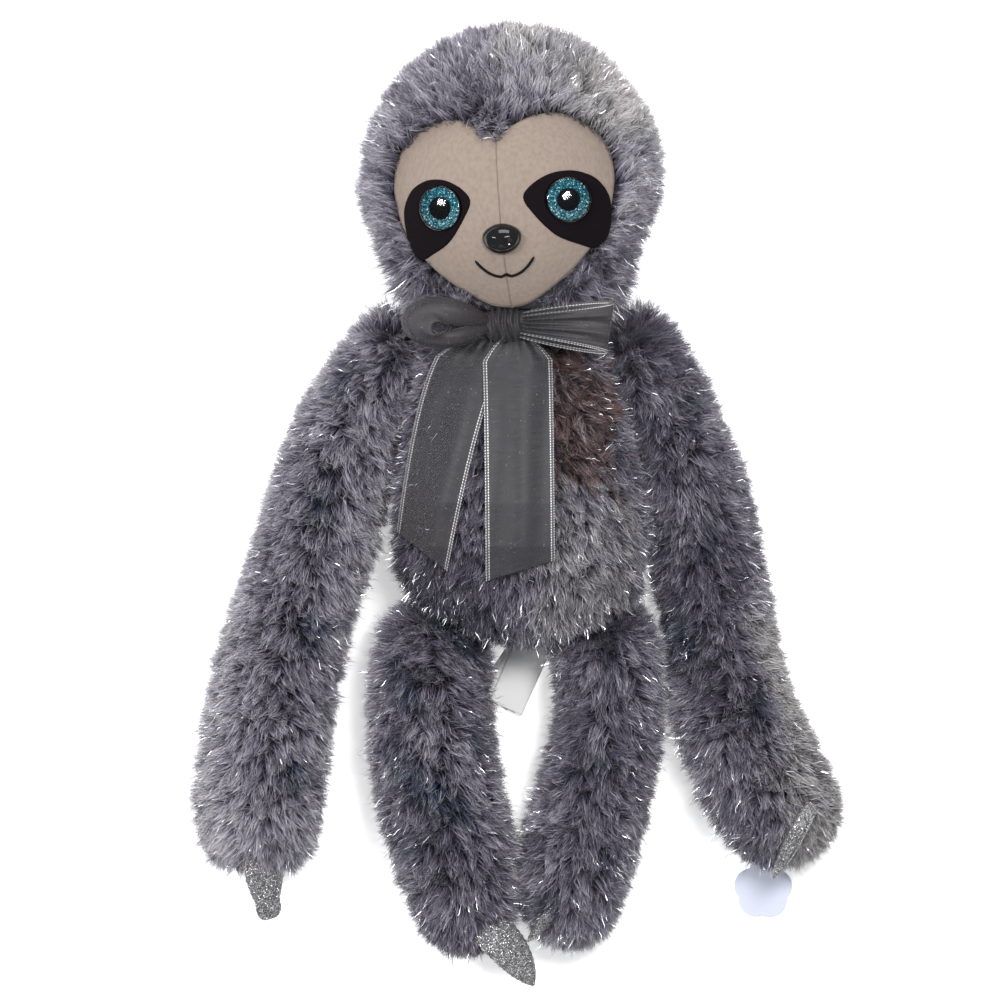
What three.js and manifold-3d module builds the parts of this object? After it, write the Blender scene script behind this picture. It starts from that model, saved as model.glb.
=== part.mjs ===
// A long-armed plush sloth with a ribbon bow, lying on its back.
// Lengths are millimetres and angles degrees. +X is the viewer's right, +Y runs from the feet to
// the crown, and +Z points out of the belly. Left and right are the viewer's.
import * as THREE from 'three';
import { mergeVertices } from 'three/addons/utils/BufferGeometryUtils.js';
import Module from 'manifold-3d';

const wasm = await Module();
wasm.setup();

// Clearances
const clothGap = 0.3; // between pieces that touch
const pileGap = 0.7; // between two stuffed forms
const socketGap = 0.9; // round the ball at a limb's root
const floorCut = 0.5; // how deep a resting form is flattened

// Torso
const neckHeight = 100.3; // neck seam above the toy's middle
const torsoLength = 176;
const torsoWidth = 134;
const torsoDepth = 107;
const torsoLean = 7; // how far the seat lies to the right of the neck
const torsoX = -2;
const torsoBrim = 0.98; // how far out its front is followed, of its half width
// Height, width, depth and lean, as shares of the torso's, from the seat to the neck
const torsoShares = [
  [0, 0.02, 0.02, 1], [0.02, 0.36, 0.35, 1], [0.08, 0.7, 0.66, 1], [0.18, 0.925, 0.89, 0.9],
  [0.3, 1, 0.975, 0.75], [0.43, 1.01, 1, 0.6], [0.6, 0.93, 0.955, 0.4], [0.77, 0.84, 0.87, 0.2],
  [0.885, 0.73, 0.78, 0.1], [0.95, 0.64, 0.71, 0], [1, 0.56, 0.65, 0],
];

// Head, a body of its own that is turned and rolled on the neck
const headWidth = 159;
const headHeight = 153;
const headDepth = 131;
const headCentre = new THREE.Vector3(-1.3, 173.2, 65);
const headTurn = -8;
const headRoll = 3.8;
const neckPivotZ = 60;

// Face: short velour over a rounder, lower form than the pile round it
const faceWidth = 140;
const faceHeight = 146;
const faceInset = 7.5; // face form inside the pile, front and back
const faceDepth = headDepth - 2 * faceInset;
const faceDrop = 14; // face form's middle below the head's middle
const faceForward = 2;
const velourThickness = 1.2;
const facePanelWidth = 111;
const facePanelHeight = 96;
const faceChinDrop = 71; // chin below the head's middle
// Half of the panel's outline, as shares of its half width and its height above the chin
const panelShares = [
  [0, 0], [0.28, 0.02], [0.52, 0.1], [0.8, 0.285], [0.955, 0.46], [1, 0.645], [0.965, 0.8],
  [0.84, 0.905], [0.66, 0.975], [0.5, 1], [0.32, 0.99], [0.14, 0.94], [0, 0.875],
];
// Eye patch outline, as shares of its half width and half height
const patchSpan = 64.2; // between the two patches' middles
const patchWidths = { left: 36.4, right: 41.3 };
const patchHeight = 40;
const patchShares = [
  [-0.95, 0.14], [-0.72, 0.45], [-0.3, 0.68], [0.1, 0.74], [0.45, 0.68], [0.8, 0.47], [1.04, 0.04],
  [1.05, -0.5], [0.92, -0.98], [0.64, -1.26], [0.3, -1.16], [-0.27, -0.86], [-0.77, -0.26],
];

// Eyes
const eyeSpan = 64.8; // between the two eyes' centres
const eyeShift = 1.9; // of their middle, to the right of the face's seam
const eyeDrop = 18.75; // below the head's middle
const eyeTurn = 16; // each eye faces outwards
const eyeTilt = 3; // and a little down
const eyeDiameter = 23;
const eyeRimWidth = 0.6;
const eyeRimRise = 1.5;
const eyeCupDepth = 2.6;
const eyeFloor = 1;
const eyeSink = 0.4; // rim's foot below the patch's face
const irisDiameter = 21;
const irisThickness = 0.6;
const lensRise = 4.6;
const shankDiameter = 5;
const shankLength = 14;
const washerDiameter = 17;
const washerThickness = 1.4;
const washerDepth = 8; // washer's face behind the eye's back

// Nose
const noseWidth = 20;
const noseHeight = 15.6;
const noseDepth = 15;
const noseDrop = 36.7;
const noseTopShare = 0.24; // how much wider the top is than the bottom
const noseSink = 2.2;
const nostrilDiameter = 4.4;
const nostrilSpan = 8;
const nostrilDrop = 1.8;
const nostrilDepth = 1.1;

// Mouth
const mouthWidth = 30;
const mouthRise = 9; // corners above the lowest stitches
const mouthDrop = 55.5;
const mouthCusp = 1.2;
const mouthCuspShare = 1 / 6; // its width, of the mouth's
const mouthCurve = 2.4; // power that the mouth turns up with
const stitchWidth = 1.5;

// Arms: the ball at the root is the shoulder's pivot
const shoulderSpan = 127;
const shoulderX = -2; // middle of the two shoulders
const shoulderDrop = 30; // below the neck seam
const shoulderBall = 58; // diameter
const shoulderRise = 9.8; // how far the root lies above a resting arm
const armGirth = 68;
const armDepthShare = 0.92;
const pawBlunt = 0.72; // power that a paw rounds off with; 1 is an oval
const arms = {
  left: {
    side: -1,
    splay: 67.5,
    reach: 230,
    // Along the splay, down the reach, girth and rise, as shares
    bendShares: [
      [0, 0, 0.426, 1], [0.31, 0.148, 0.465, 0.55], [0.57, 0.391, 0.485, 0.15],
      [0.776, 0.574, 0.495, 0], [0.935, 0.791, 0.515, 0], [1, 1, 0.505, 0],
    ],
  },
  right: {
    side: 1,
    splay: 75.5,
    reach: 227,
    bendShares: [
      [0, 0, 0.426, 1], [0.2, 0.13, 0.45, 0.6], [0.4, 0.278, 0.455, 0.2], [0.54, 0.502, 0.455, 0],
      [0.637, 0.66, 0.46, 0], [0.755, 0.815, 0.51, 0], [1, 1, 0.495, 0],
    ],
  },
};

// Legs: the ball at the root is the hip's pivot
const hipDrop = 178; // below the neck seam
const hipBall = 62; // diameter
const hipRise = 6;
const legGirth = 67;
const legDepthShare = 0.95;
const footBlunt = 1;
const feetMeetX = 0.9; // where the two feet touch
const hipRaise = 70; // the thigh's swing that the seat leaves room for
const legs = {
  left: {
    side: -1,
    hipX: -42,
    splay: -16,
    reach: 132,
    bendShares: [
      [0, 0, 0.463, 1], [0.15, 0.295, 0.51, 0.4], [-0.2, 0.576, 0.51, 0],
      [-0.562, 0.742, 0.495, 0], [-1, 1, 0.43, 0],
    ],
  },
  right: {
    side: 1,
    hipX: 46,
    splay: -17,
    reach: 129,
    bendShares: [
      [0, 0, 0.463, 1], [0.11, 0.225, 0.44, 0.5], [-0.05, 0.434, 0.46, 0.1],
      [-0.28, 0.612, 0.475, 0], [-0.7, 0.762, 0.48, 0], [-1, 1, 0.42, 0],
    ],
  },
};

// Claws: flat leaves of silver cloth, sewn into each limb's end
const clawLength = 46;
const clawWidth = 22;
const clawThickness = 5.4;
const clawEdgeWidth = 9.4; // of a claw that is rolled and seen on edge
const foldedClawShare = 0.58; // of a claw that is mostly tucked into its paw
// Along the leaf, its width and its thickness, as shares
const clawShares = [
  [0, 0.86, 0.9], [0.3, 1, 1], [0.6, 0.92, 0.9], [0.82, 0.66, 0.7], [0.95, 0.36, 0.42],
];

// Ribbon
const ribbonWidth = 36;
const ribbonThickness = 0.8;
const collarWidth = 7.5;
const collarDrop = 0.8; // collar's top edge below the neck seam
const knotWidth = 21;
const knotHeight = 14.6;
const knotThickness = 11;
const knotX = -5.5;
const knotDrop = 8.4;
const gatherShare = 0.34; // the ribbon's width where the knot draws it in
const loopStart = 5; // inside the knot's side
const loopLift = 11; // the pile of the chin pushes both loops forward
const loopLiftShare = 0.45; // of the flat loop's length, by when it is there
const loopTuckShare = 0.02; // of each loop's turn, left open inside the knot
// The left loop is rolled, and its front edge closes to a small eye and a crease
const rolledLength = 48;
const rolledWidth = 31;
const rolledDepth = 15;
const rolledRise = 1.6; // of its middle line above the knot's, at the far end
const eyeletReach = 28; // the eye's far side from the loop's start
const eyeletWidth = 3.4;
const eyeletDrop = 2;
// Powers that its edges open, close in on the eye, draw inwards and bulge with
const rolledCurve = { edge: 0.5, eyelet: 4, inward: 1.6, bulge: 0.8 };
// The right loop is flat and its front layer is narrower than its back one
const flatLength = 49;
const flatWidth = 32;
const flatDepth = 8;
const flatDrop = 1.6;
const flatLean = 8;
const frontShare = 0.7;
const flatCurve = { spread: 0.8, depth: 0.5 }; // powers that it opens with
const tails = {
  left: { side: -1, reach: 111, start: 4.5, swing: 40, lift: 1.1, slant: 38, narrowShare: 0.27 },
  right: { side: 1, reach: 121, start: 1, swing: 6, lift: 4.6, slant: -17, narrowShare: 0 },
};
const tailFold = 1.1;
const tailFolds = 3; // half waves across
const tailFoldDrift = 0.5; // half waves that they shift by, down the tail
const tailFoldShare = 1 / 3; // of its reach, by when the folds are full
const tailFlareShare = 1 / 6; // of its reach, by when it has its full width
const tailSwingCurve = 0.6;
const tailDropShare = 0.9; // start below the knot's middle, of the knot's half height

// Sewn-in label
const labelWidth = 19;
const labelLength = 46;
const labelThickness = 0.5;
const labelLift = 1.4; // of the lowest leaf above the surface that the toy lies on
const labelRise = 13; // of its sewn end above its free end
const labelSlope = 0.62; // cosine of the steepest slope
const labelRiseShare = 1 / 1.7; // of its length, by when it lies low
const labelX = 11;
const labelDrop = 166; // its sewn end below the neck seam
const labelTurn = -29;
const labelFan = 5; // between one leaf and the next

// Hang tag and its pin
const tagDiameter = 31;
const tagThickness = 0.8;
const tagLift = 2;
const tagHoleDiameter = 3;
const tagHoleInset = 4.5;
const tagTurn = -122; // from its hole to its middle
const tagScallops = 7;
const tagScallopShare = 0.07;
const pinShares = [0.0474, 0.09]; // pin's place from the right claw's tip, of the claw's length
const pinDiameter = 0.9;
const pinPaddle = 4.6;
const pinPaddleThickness = 0.7;

// Steps that round shapes are drawn with
const girthSteps = 20;
const capSteps = 3;
const spanSteps = 2; // rings between two stations of a form
const ballSteps = 22;
const turnSteps = 20;
const faceSteps = 24;
const smallSteps = 16;
const stitchSides = 6;
const tailSteps = 16;
const foldSteps = 8;
const chordSlack = 0.08; // how far a drawn piece may stray from its cut
const pileSlack = 0.25; // the same of a stuffed form
const cutterSide = 4 * torsoLength;

const radians = THREE.MathUtils.degToRad;
const half = (length) => length / 2;

// Solids

function solid(geometry) {
  const bare = geometry.index ? geometry.toNonIndexed() : geometry.clone();
  bare.deleteAttribute('normal');
  bare.deleteAttribute('uv');
  const merged = mergeVertices(bare, 1e-4);
  return new wasm.Manifold(new wasm.Mesh({
    numProp: 3,
    vertProperties: merged.attributes.position.array,
    triVerts: new Uint32Array(merged.index.array),
  }));
}

// The largest body of a cut shape, without its slivers
function mainBody(shape) {
  return shape.decompose().sort((a, b) => b.volume() - a.volume())[0];
}

function geometryOf(shape, slack) {
  const made = mainBody(shape.simplify(slack)).getMesh();
  const geometry = new THREE.BufferGeometry();
  geometry.setAttribute('position', new THREE.BufferAttribute(made.vertProperties, 3));
  geometry.setIndex(new THREE.BufferAttribute(made.triVerts, 1));
  geometry.computeVertexNormals();
  return geometry;
}

// A closed form through rings of points, with a pole at each end. Each ring turns to the right
// about the way the form runs.
function loft(rings, firstPole, lastPole) {
  const count = rings[0].length;
  const points = [firstPole, ...rings.flat(), lastPole];
  const last = points.length - 1;
  const at = (ring, i) => 1 + ring * count + (i % count);
  const faces = [];
  for (let i = 0; i < count; i++) {
    faces.push(0, at(0, i + 1), at(0, i));
    faces.push(last, at(rings.length - 1, i), at(rings.length - 1, i + 1));
    for (let ring = 0; ring + 1 < rings.length; ring++) {
      faces.push(at(ring, i), at(ring, i + 1), at(ring + 1, i));
      faces.push(at(ring, i + 1), at(ring + 1, i + 1), at(ring + 1, i));
    }
  }
  const geometry = new THREE.BufferGeometry().setFromPoints(points);
  geometry.setIndex(faces);
  return geometry;
}

function ovalRing(centre, right, up, halfWidth, halfDepth) {
  return Array.from({ length: girthSteps }, (_, i) => {
    const angle = (2 * Math.PI * i) / girthSteps;
    return centre.clone()
      .addScaledVector(right, halfWidth * Math.cos(angle))
      .addScaledVector(up, halfDepth * Math.sin(angle));
  });
}

function ball(diameter, centre) {
  const geometry = new THREE.SphereGeometry(half(diameter), ballSteps, half(ballSteps));
  return solid(geometry.translate(centre.x, centre.y, centre.z));
}

function egg(width, height, depth, grow = 0, steps = faceSteps) {
  const geometry = new THREE.SphereGeometry(1, steps, half(steps));
  return geometry.scale(half(width) + grow, half(height) + grow, half(depth) + grow);
}

function block(low, high) {
  const size = new THREE.Vector3().subVectors(high, low);
  const middle = new THREE.Vector3().addVectors(high, low).multiplyScalar(0.5);
  return new THREE.BoxGeometry(size.x, size.y, size.z).translate(middle.x, middle.y, middle.z);
}

function everythingBelow(axis, level) {
  const low = new THREE.Vector3().setScalar(-cutterSide);
  const high = new THREE.Vector3().setScalar(cutterSide);
  high[axis] = level;
  return block(low, high);
}

function everythingAbove(axis, level) {
  const low = new THREE.Vector3().setScalar(-cutterSide);
  const high = new THREE.Vector3().setScalar(cutterSide);
  low[axis] = level;
  return block(low, high);
}

const floor = solid(everythingBelow('z', 0));

// A thin closed sheet over a surface of points, given across and along it
function sheet(surface, across, along, thickness) {
  const points = [];
  for (const side of [1, -1]) {
    for (let j = 0; j <= along; j++) {
      for (let i = 0; i <= across; i++) {
        const u = i / across;
        const v = j / along;
        const out = sheetNormal(surface, u, v).multiplyScalar(side * half(thickness));
        points.push(surface(u, v).add(out));
      }
    }
  }
  const row = across + 1;
  const layer = row * (along + 1);
  const faces = [];
  const quad = (a, b, c, d) => faces.push(a, b, c, a, c, d);
  for (let j = 0; j < along; j++) {
    for (let i = 0; i < across; i++) {
      const a = j * row + i;
      quad(a, a + 1, a + row + 1, a + row);
      quad(layer + a, layer + a + row, layer + a + row + 1, layer + a + 1);
    }
    quad(j * row, (j + 1) * row, layer + (j + 1) * row, layer + j * row);
    const edge = j * row + across;
    quad(edge, layer + edge, layer + edge + row, edge + row);
  }
  for (let i = 0; i < across; i++) {
    quad(i, layer + i, layer + i + 1, i + 1);
    const end = along * row + i;
    quad(end, end + 1, layer + end + 1, layer + end);
  }
  const geometry = new THREE.BufferGeometry().setFromPoints(points);
  geometry.setIndex(faces);
  return geometry;
}

function sheetNormal(surface, u, v) {
  const step = 1e-3;
  const span = (a, b) => Math.min(Math.max(a + b, 0), 1);
  const acrossway = surface(span(u, step), v).sub(surface(span(u, -step), v));
  const alongway = surface(u, span(v, step)).sub(surface(u, span(v, -step)));
  return acrossway.cross(alongway).normalize();
}

// Torso

const torsoBottom = neckHeight - half(pileGap) - torsoLength;
const torsoMiddleZ = half(torsoDepth) - floorCut;
const torsoCurves = torsoShares.map(([height, width, depth, lean]) => ({
  size: new THREE.Vector3(width * half(torsoWidth), height * torsoLength, depth * half(torsoDepth)),
  lean: lean * torsoLean,
}));
const torsoSize = new THREE.CatmullRomCurve3(torsoCurves.map(({ size }) => size));
const torsoShift = new THREE.CatmullRomCurve3(
  torsoCurves.map(({ lean }) => new THREE.Vector3(lean, 0, 0)),
);

function torsoStation(t) {
  const size = torsoSize.getPoint(t);
  return {
    centre: new THREE.Vector3(torsoX + torsoShift.getPoint(t).x, torsoBottom + size.y, torsoMiddleZ),
    halfWidth: size.x,
    halfDepth: size.z,
  };
}

function torsoStationAt(height) {
  let low = 0;
  let high = 1;
  for (let step = 0; step < 30; step++) {
    const middle = (low + high) / 2;
    if (torsoStation(middle).centre.y < height) low = middle;
    else high = middle;
  }
  return torsoStation(low);
}

// How high the front of the torso is above the ground, at a place that it covers
function torsoFront(x, y) {
  const { centre, halfWidth, halfDepth } = torsoStationAt(y);
  const across = Math.min(Math.abs(x - centre.x) / halfWidth, torsoBrim);
  return centre.z + halfDepth * Math.sqrt(1 - across * across);
}

function torsoForm(grow = 0) {
  const steps = spanSteps * 7;
  const right = new THREE.Vector3(-1, 0, 0);
  const up = new THREE.Vector3(0, 0, 1);
  const rings = Array.from({ length: steps + 1 }, (_, i) => {
    const { centre, halfWidth, halfDepth } = torsoStation(i / steps);
    return ovalRing(centre, right, up, halfWidth + grow, halfDepth + grow);
  });
  const below = torsoStation(0).centre;
  const above = torsoStation(1).centre;
  return solid(loft(rings, below.setY(below.y - grow), above));
}

// Limbs

function shoulder(arm) {
  const ballRest = armDepthShare * armGirth * arm.bendShares[0][2] - floorCut;
  return new THREE.Vector3(
    shoulderX + arm.side * half(shoulderSpan),
    neckHeight - shoulderDrop,
    ballRest + shoulderRise,
  );
}

function hip(leg) {
  const ballRest = legDepthShare * legGirth * leg.bendShares[0][2] - floorCut;
  return new THREE.Vector3(leg.hipX, neckHeight - hipDrop, ballRest + hipRise);
}

function limbForm(limb, root, girth, depthShare, blunt, rise, grow = 0) {
  const places = limb.bendShares.map(([out, down, share, riseShare]) => new THREE.Vector3(
    root.x + limb.side * limb.splay * Math.sign(limb.splay) * out,
    root.y - down * limb.reach,
    depthShare * girth * share - floorCut + riseShare * rise,
  ));
  const path = new THREE.CatmullRomCurve3(places);
  const girths = new THREE.CatmullRomCurve3(
    limb.bendShares.map(([, , share]) => new THREE.Vector3(share * girth, 0, 0)),
  );
  const ring = (t, along, shrink) => {
    const way = path.getTangent(t);
    const up = new THREE.Vector3(0, 0, 1);
    up.addScaledVector(way, -up.dot(way)).normalize();
    const right = new THREE.Vector3().crossVectors(up, way);
    const radius = girths.getPoint(t).x + grow;
    const centre = path.getPoint(t).addScaledVector(way, along * radius);
    return ovalRing(centre, right, up, radius * shrink, radius * shrink * depthShare);
  };
  const rings = [];
  for (let i = 1; i < capSteps; i++) {
    const angle = (Math.PI / 2) * (1 - i / capSteps);
    rings.push(ring(0, -Math.sin(angle), Math.cos(angle)));
  }
  const steps = spanSteps * (places.length - 1);
  for (let i = 0; i <= steps; i++) rings.push(ring(i / steps, 0, 1));
  for (let i = 1; i < capSteps; i++) {
    const angle = (Math.PI / 2) * (i / capSteps);
    rings.push(ring(1, Math.sin(angle), Math.cos(angle) ** blunt));
  }
  const pole = (t, along) => path.getPoint(t)
    .addScaledVector(path.getTangent(t), along * (girths.getPoint(t).x + grow));
  return solid(loft(rings, pole(0, -1), pole(1, 1)));
}

function armForm(arm, grow) {
  return limbForm(arm, shoulder(arm), armGirth, armDepthShare, pawBlunt, shoulderRise, grow);
}

function legForm(leg, grow) {
  return limbForm(leg, hip(leg), legGirth, legDepthShare, footBlunt, hipRise, grow);
}

function swungAboutX(shape, pivot, degrees) {
  return shape.translate([-pivot.x, -pivot.y, -pivot.z]).rotate([degrees, 0, 0])
    .translate([pivot.x, pivot.y, pivot.z]);
}

function torsoShape() {
  let shape = torsoForm();
  for (const arm of Object.values(arms)) {
    shape = shape.subtract(ball(shoulderBall + 2 * socketGap, shoulder(arm)));
  }
  for (const leg of Object.values(legs)) {
    shape = shape.subtract(ball(hipBall + 2 * socketGap, hip(leg)));
    for (const share of [1 / 3, 2 / 3, 1]) {
      shape = shape.subtract(swungAboutX(legForm(leg, socketGap), hip(leg), -share * hipRaise));
    }
  }
  return shape.subtract(floor);
}

function armShape(arm, claw) {
  const torsoRoom = torsoForm(pileGap).subtract(ball(shoulderBall, shoulder(arm)));
  return armForm(arm).subtract(torsoRoom).subtract(claw).subtract(floor);
}

function legShape(leg, claw) {
  const torsoRoom = torsoForm(pileGap).subtract(ball(hipBall, hip(leg)));
  const other = leg.side < 0
    ? everythingAbove('x', feetMeetX - half(pileGap))
    : everythingBelow('x', feetMeetX + half(pileGap));
  return legForm(leg).subtract(torsoRoom).subtract(solid(other)).subtract(claw).subtract(floor);
}

// Claws

// A flat leaf along a bent line, from the root to the tip; face is the way its flat side looks
function leaf(places, face, length, width, thickness) {
  const path = new THREE.CatmullRomCurve3(places);
  const scale = length / path.getLength();
  const rings = clawShares.map(([along, widthShare, thicknessShare]) => {
    const way = path.getTangentAt(along);
    const up = face.clone().addScaledVector(way, -face.dot(way)).normalize();
    const right = new THREE.Vector3().crossVectors(up, way);
    const centre = path.getPointAt(0).lerp(path.getPointAt(along), scale);
    return ovalRing(centre, right, up, half(width) * widthShare, half(thickness) * thicknessShare);
  });
  const tip = path.getPointAt(0).lerp(path.getPointAt(1), scale);
  return loft(rings, path.getPointAt(0), tip);
}

// Each claw from its place beyond the limb's last station, in shares of the claw's length
const clawWays = {
  handLeft: {
    limb: () => armEnd(arms.left),
    rootShares: [0.03, -0.29, 0.22],
    wayShares: [[0, 0, 0], [0.02, -0.5, 0], [0.09, -1, -0.16]],
    face: new THREE.Vector3(0.25, 0, 1),
    length: clawLength,
    width: clawWidth,
    thickness: clawThickness,
  },
  handRight: {
    limb: () => armEnd(arms.right),
    rootShares: [0.35, -0.06, 0.6],
    wayShares: [[0, 0, 0], [-0.2, -0.37, 0.1], [-0.43, -0.83, -0.21]],
    face: new THREE.Vector3(0.2, 0.1, 1),
    length: clawLength,
    width: clawEdgeWidth,
    thickness: clawEdgeWidth,
  },
  footLeft: {
    limb: () => legEnd(legs.left),
    rootShares: [0.18, -0.2, 0.36],
    wayShares: [[0, 0, 0], [0.3, -0.3, -0.04], [0.54, -0.66, -0.24]],
    face: new THREE.Vector3(0.3, 0.1, 1),
    length: clawLength,
    width: clawWidth,
    thickness: clawThickness,
  },
  footRight: {
    limb: () => legEnd(legs.right),
    rootShares: [-0.16, -0.1, 0.4],
    wayShares: [[0, 0, 0], [-0.1, -0.12, -0.02], [-0.32, -0.38, -0.22]],
    face: new THREE.Vector3(0.8, -0.7, 0.9),
    length: clawLength * foldedClawShare,
    width: clawWidth * foldedClawShare,
    thickness: clawThickness,
  },
};

function limbEnd(limb, root, girth, depthShare) {
  const [out, down, share] = limb.bendShares.at(-1);
  return new THREE.Vector3(
    root.x + limb.side * Math.abs(limb.splay) * out,
    root.y - down * limb.reach,
    depthShare * girth * share - floorCut,
  );
}

function armEnd(arm) {
  return limbEnd(arm, shoulder(arm), armGirth, armDepthShare);
}

function legEnd(leg) {
  return limbEnd(leg, hip(leg), legGirth, legDepthShare);
}

function clawTip({ limb, rootShares, wayShares }) {
  return limb().add(new THREE.Vector3(...rootShares).multiplyScalar(clawLength))
    .add(new THREE.Vector3(...wayShares.at(-1)).multiplyScalar(clawLength));
}

function clawForm({ limb, rootShares, wayShares, face, length, width, thickness }, grow = 0) {
  const start = limb().add(new THREE.Vector3(...rootShares).multiplyScalar(clawLength));
  const places = wayShares.map((shares) => new THREE.Vector3(...shares)
    .multiplyScalar(clawLength).add(start));
  return solid(leaf(places, face, length, width + 2 * grow, thickness + 2 * grow));
}

// The root inside the limb is flattened cloth, so only what stands out of the limb is the claw
function clawShape(way, limbRoom) {
  return mainBody(clawForm(way).subtract(limbRoom).subtract(floor));
}

// Head, in its own frame: its middle is the origin and +Z is the way the face looks

const headGroup = new THREE.Group();
headGroup.position.copy(headCentre);
headGroup.rotation.set(0, radians(headTurn), radians(headRoll), 'ZYX');
headGroup.updateMatrix();
const intoHead = headGroup.matrix.clone().invert();

const faceMiddle = new THREE.Vector3(0, -faceDrop, faceForward);

function faceForm(grow = 0) {
  const form = egg(faceWidth, faceHeight, faceDepth, grow);
  return solid(form.translate(faceMiddle.x, faceMiddle.y, faceMiddle.z));
}

// The place on the face form, raised along its outward normal
function onFace(x, y, raise = 0) {
  const across = (x - faceMiddle.x) / half(faceWidth);
  const up = (y - faceMiddle.y) / half(faceHeight);
  const out = Math.sqrt(1 - across * across - up * up);
  const place = new THREE.Vector3(x, y, faceMiddle.z + out * half(faceDepth));
  const normal = new THREE.Vector3(
    across / half(faceWidth), up / half(faceHeight), out / half(faceDepth),
  ).normalize();
  return place.addScaledVector(normal, raise);
}

function prism(points) {
  const outline = new THREE.Shape(points);
  const geometry = new THREE.ExtrudeGeometry(outline, { depth: headDepth, bevelEnabled: false });
  return solid(geometry);
}

function smoothOutline(points, closed, steps) {
  const curve = new THREE.CatmullRomCurve3(points.map(([x, y]) => new THREE.Vector3(x, y, 0)), closed);
  return curve.getPoints(steps).map(({ x, y }) => new THREE.Vector2(x, y));
}

// One half of the face's outline, from the chin round to the widow's peak and back down the seam
function panelOutline(side, seam) {
  const edge = smoothOutline(panelShares.map(([across, up]) => [
    side * Math.max(across * half(facePanelWidth), 0),
    up * facePanelHeight - faceChinDrop,
  ]), false, 2 * turnSteps);
  const inner = edge.filter(({ x }) => side * x > seam);
  const first = new THREE.Vector2(side * seam, edge[0].y);
  const last = new THREE.Vector2(side * seam, edge.at(-1).y);
  const points = [first, ...inner, last];
  return side > 0 ? points : points.reverse();
}

function faceOpening() {
  return prism(panelOutline(1, 0)).add(prism(panelOutline(-1, 0)));
}

function patchOutline(side) {
  const width = side < 0 ? patchWidths.left : patchWidths.right;
  const points = smoothOutline(patchShares.map(([across, up]) => [
    side * (half(patchSpan) + across * half(width)),
    up * half(patchHeight) - eyeDrop,
  ]), true, turnSteps);
  return side > 0 ? points.reverse() : points;
}

// Eyes, in their own frame: +Z looks out and the origin is where the rim meets the patch

const patchFace = 2 * (clothGap + velourThickness);

function eyeFrame(side) {
  const frame = new THREE.Group();
  const across = side * half(eyeSpan) + eyeShift;
  frame.position.copy(onFace(across, -eyeDrop, patchFace - eyeSink));
  frame.rotation.set(radians(eyeTilt), side * radians(eyeTurn), 0, 'YXZ');
  frame.updateMatrix();
  return frame;
}

function turned(profile) {
  return new THREE.LatheGeometry(profile.map(([x, y]) => new THREE.Vector2(x, y)), turnSteps)
    .rotateX(Math.PI / 2);
}

function eyeHousing(grow = 0) {
  const rim = half(eyeDiameter) + grow;
  const cup = half(eyeDiameter) - eyeRimWidth;
  const shank = half(shankDiameter) + grow;
  const back = -eyeCupDepth - grow;
  const end = back - shankLength;
  const inside = eyeFloor - eyeCupDepth;
  const face = grow ? [[0, eyeRimRise]] : [[cup, eyeRimRise], [cup, inside], [0, inside]];
  return turned([
    [0, end], [shank, end], [shank, back], [rim - eyeFloor, back], [rim, back + eyeFloor],
    [rim, eyeRimRise], ...face,
  ]);
}

function washer(grow = 0) {
  const inner = half(shankDiameter) + clothGap;
  const outer = half(washerDiameter) + grow;
  const face = -eyeCupDepth - washerDepth + grow;
  const back = face - washerThickness - 2 * grow;
  if (grow) return turned([[0, back], [outer, back], [outer, face], [0, face]]);
  return turned([[inner, back], [outer, back], [outer, face], [inner, face], [inner, back]]);
}

function eyeIris() {
  const low = eyeFloor - eyeCupDepth + clothGap;
  const high = low + irisThickness;
  return turned([[0, low], [half(irisDiameter), low], [half(irisDiameter), high], [0, high]]);
}

function eyeLens() {
  const low = eyeFloor - eyeCupDepth + 2 * clothGap + irisThickness;
  const radius = half(eyeDiameter) - eyeRimWidth - clothGap;
  const dome = Array.from({ length: capSteps + 2 }, (_, i) => {
    const angle = (Math.PI / 2) * (i / (capSteps + 1));
    return [radius * Math.cos(angle), eyeRimRise + (lensRise - eyeRimRise) * Math.sin(angle)];
  });
  dome.at(-1)[0] = 0;
  return turned([[0, low], [radius, low], ...dome]);
}

// Nose, in its own frame: +Z looks out and the origin is on the panel

function noseFrame() {
  const frame = new THREE.Group();
  frame.position.copy(onFace(0, -noseDrop, clothGap + velourThickness));
  frame.updateMatrix();
  return frame;
}

function noseForm(grow = 0) {
  const form = egg(noseWidth, noseHeight, noseDepth, grow, smallSteps);
  const places = form.attributes.position;
  for (let i = 0; i < places.count; i++) {
    const up = places.getY(i) / half(noseHeight);
    places.setX(i, places.getX(i) * (1 + noseTopShare * half(up)));
  }
  const shank = turned([
    [0, -shankLength - noseSink], [half(shankDiameter) + grow, -shankLength - noseSink],
    [half(shankDiameter) + grow, 0], [0, 0],
  ]);
  const front = solid(everythingAbove('z', -noseSink - grow));
  return solid(form).intersect(front).add(solid(shank));
}

function noseShape() {
  let shape = noseForm();
  for (const side of [-1, 1]) {
    const nostril = egg(nostrilDiameter, nostrilDiameter, nostrilDiameter, 0, half(smallSteps));
    const place = noseSurface(side * half(nostrilSpan), -nostrilDrop);
    nostril.translate(place.x, place.y, place.z + half(nostrilDiameter) - nostrilDepth);
    shape = shape.subtract(solid(nostril));
  }
  return shape;
}

function noseSurface(x, y) {
  const across = x / half(noseWidth);
  const up = y / half(noseHeight);
  return new THREE.Vector3(x, y, half(noseDepth) * Math.sqrt(1 - across * across - up * up));
}

const noseWasherDrop = eyeCupDepth - noseSink;

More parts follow.
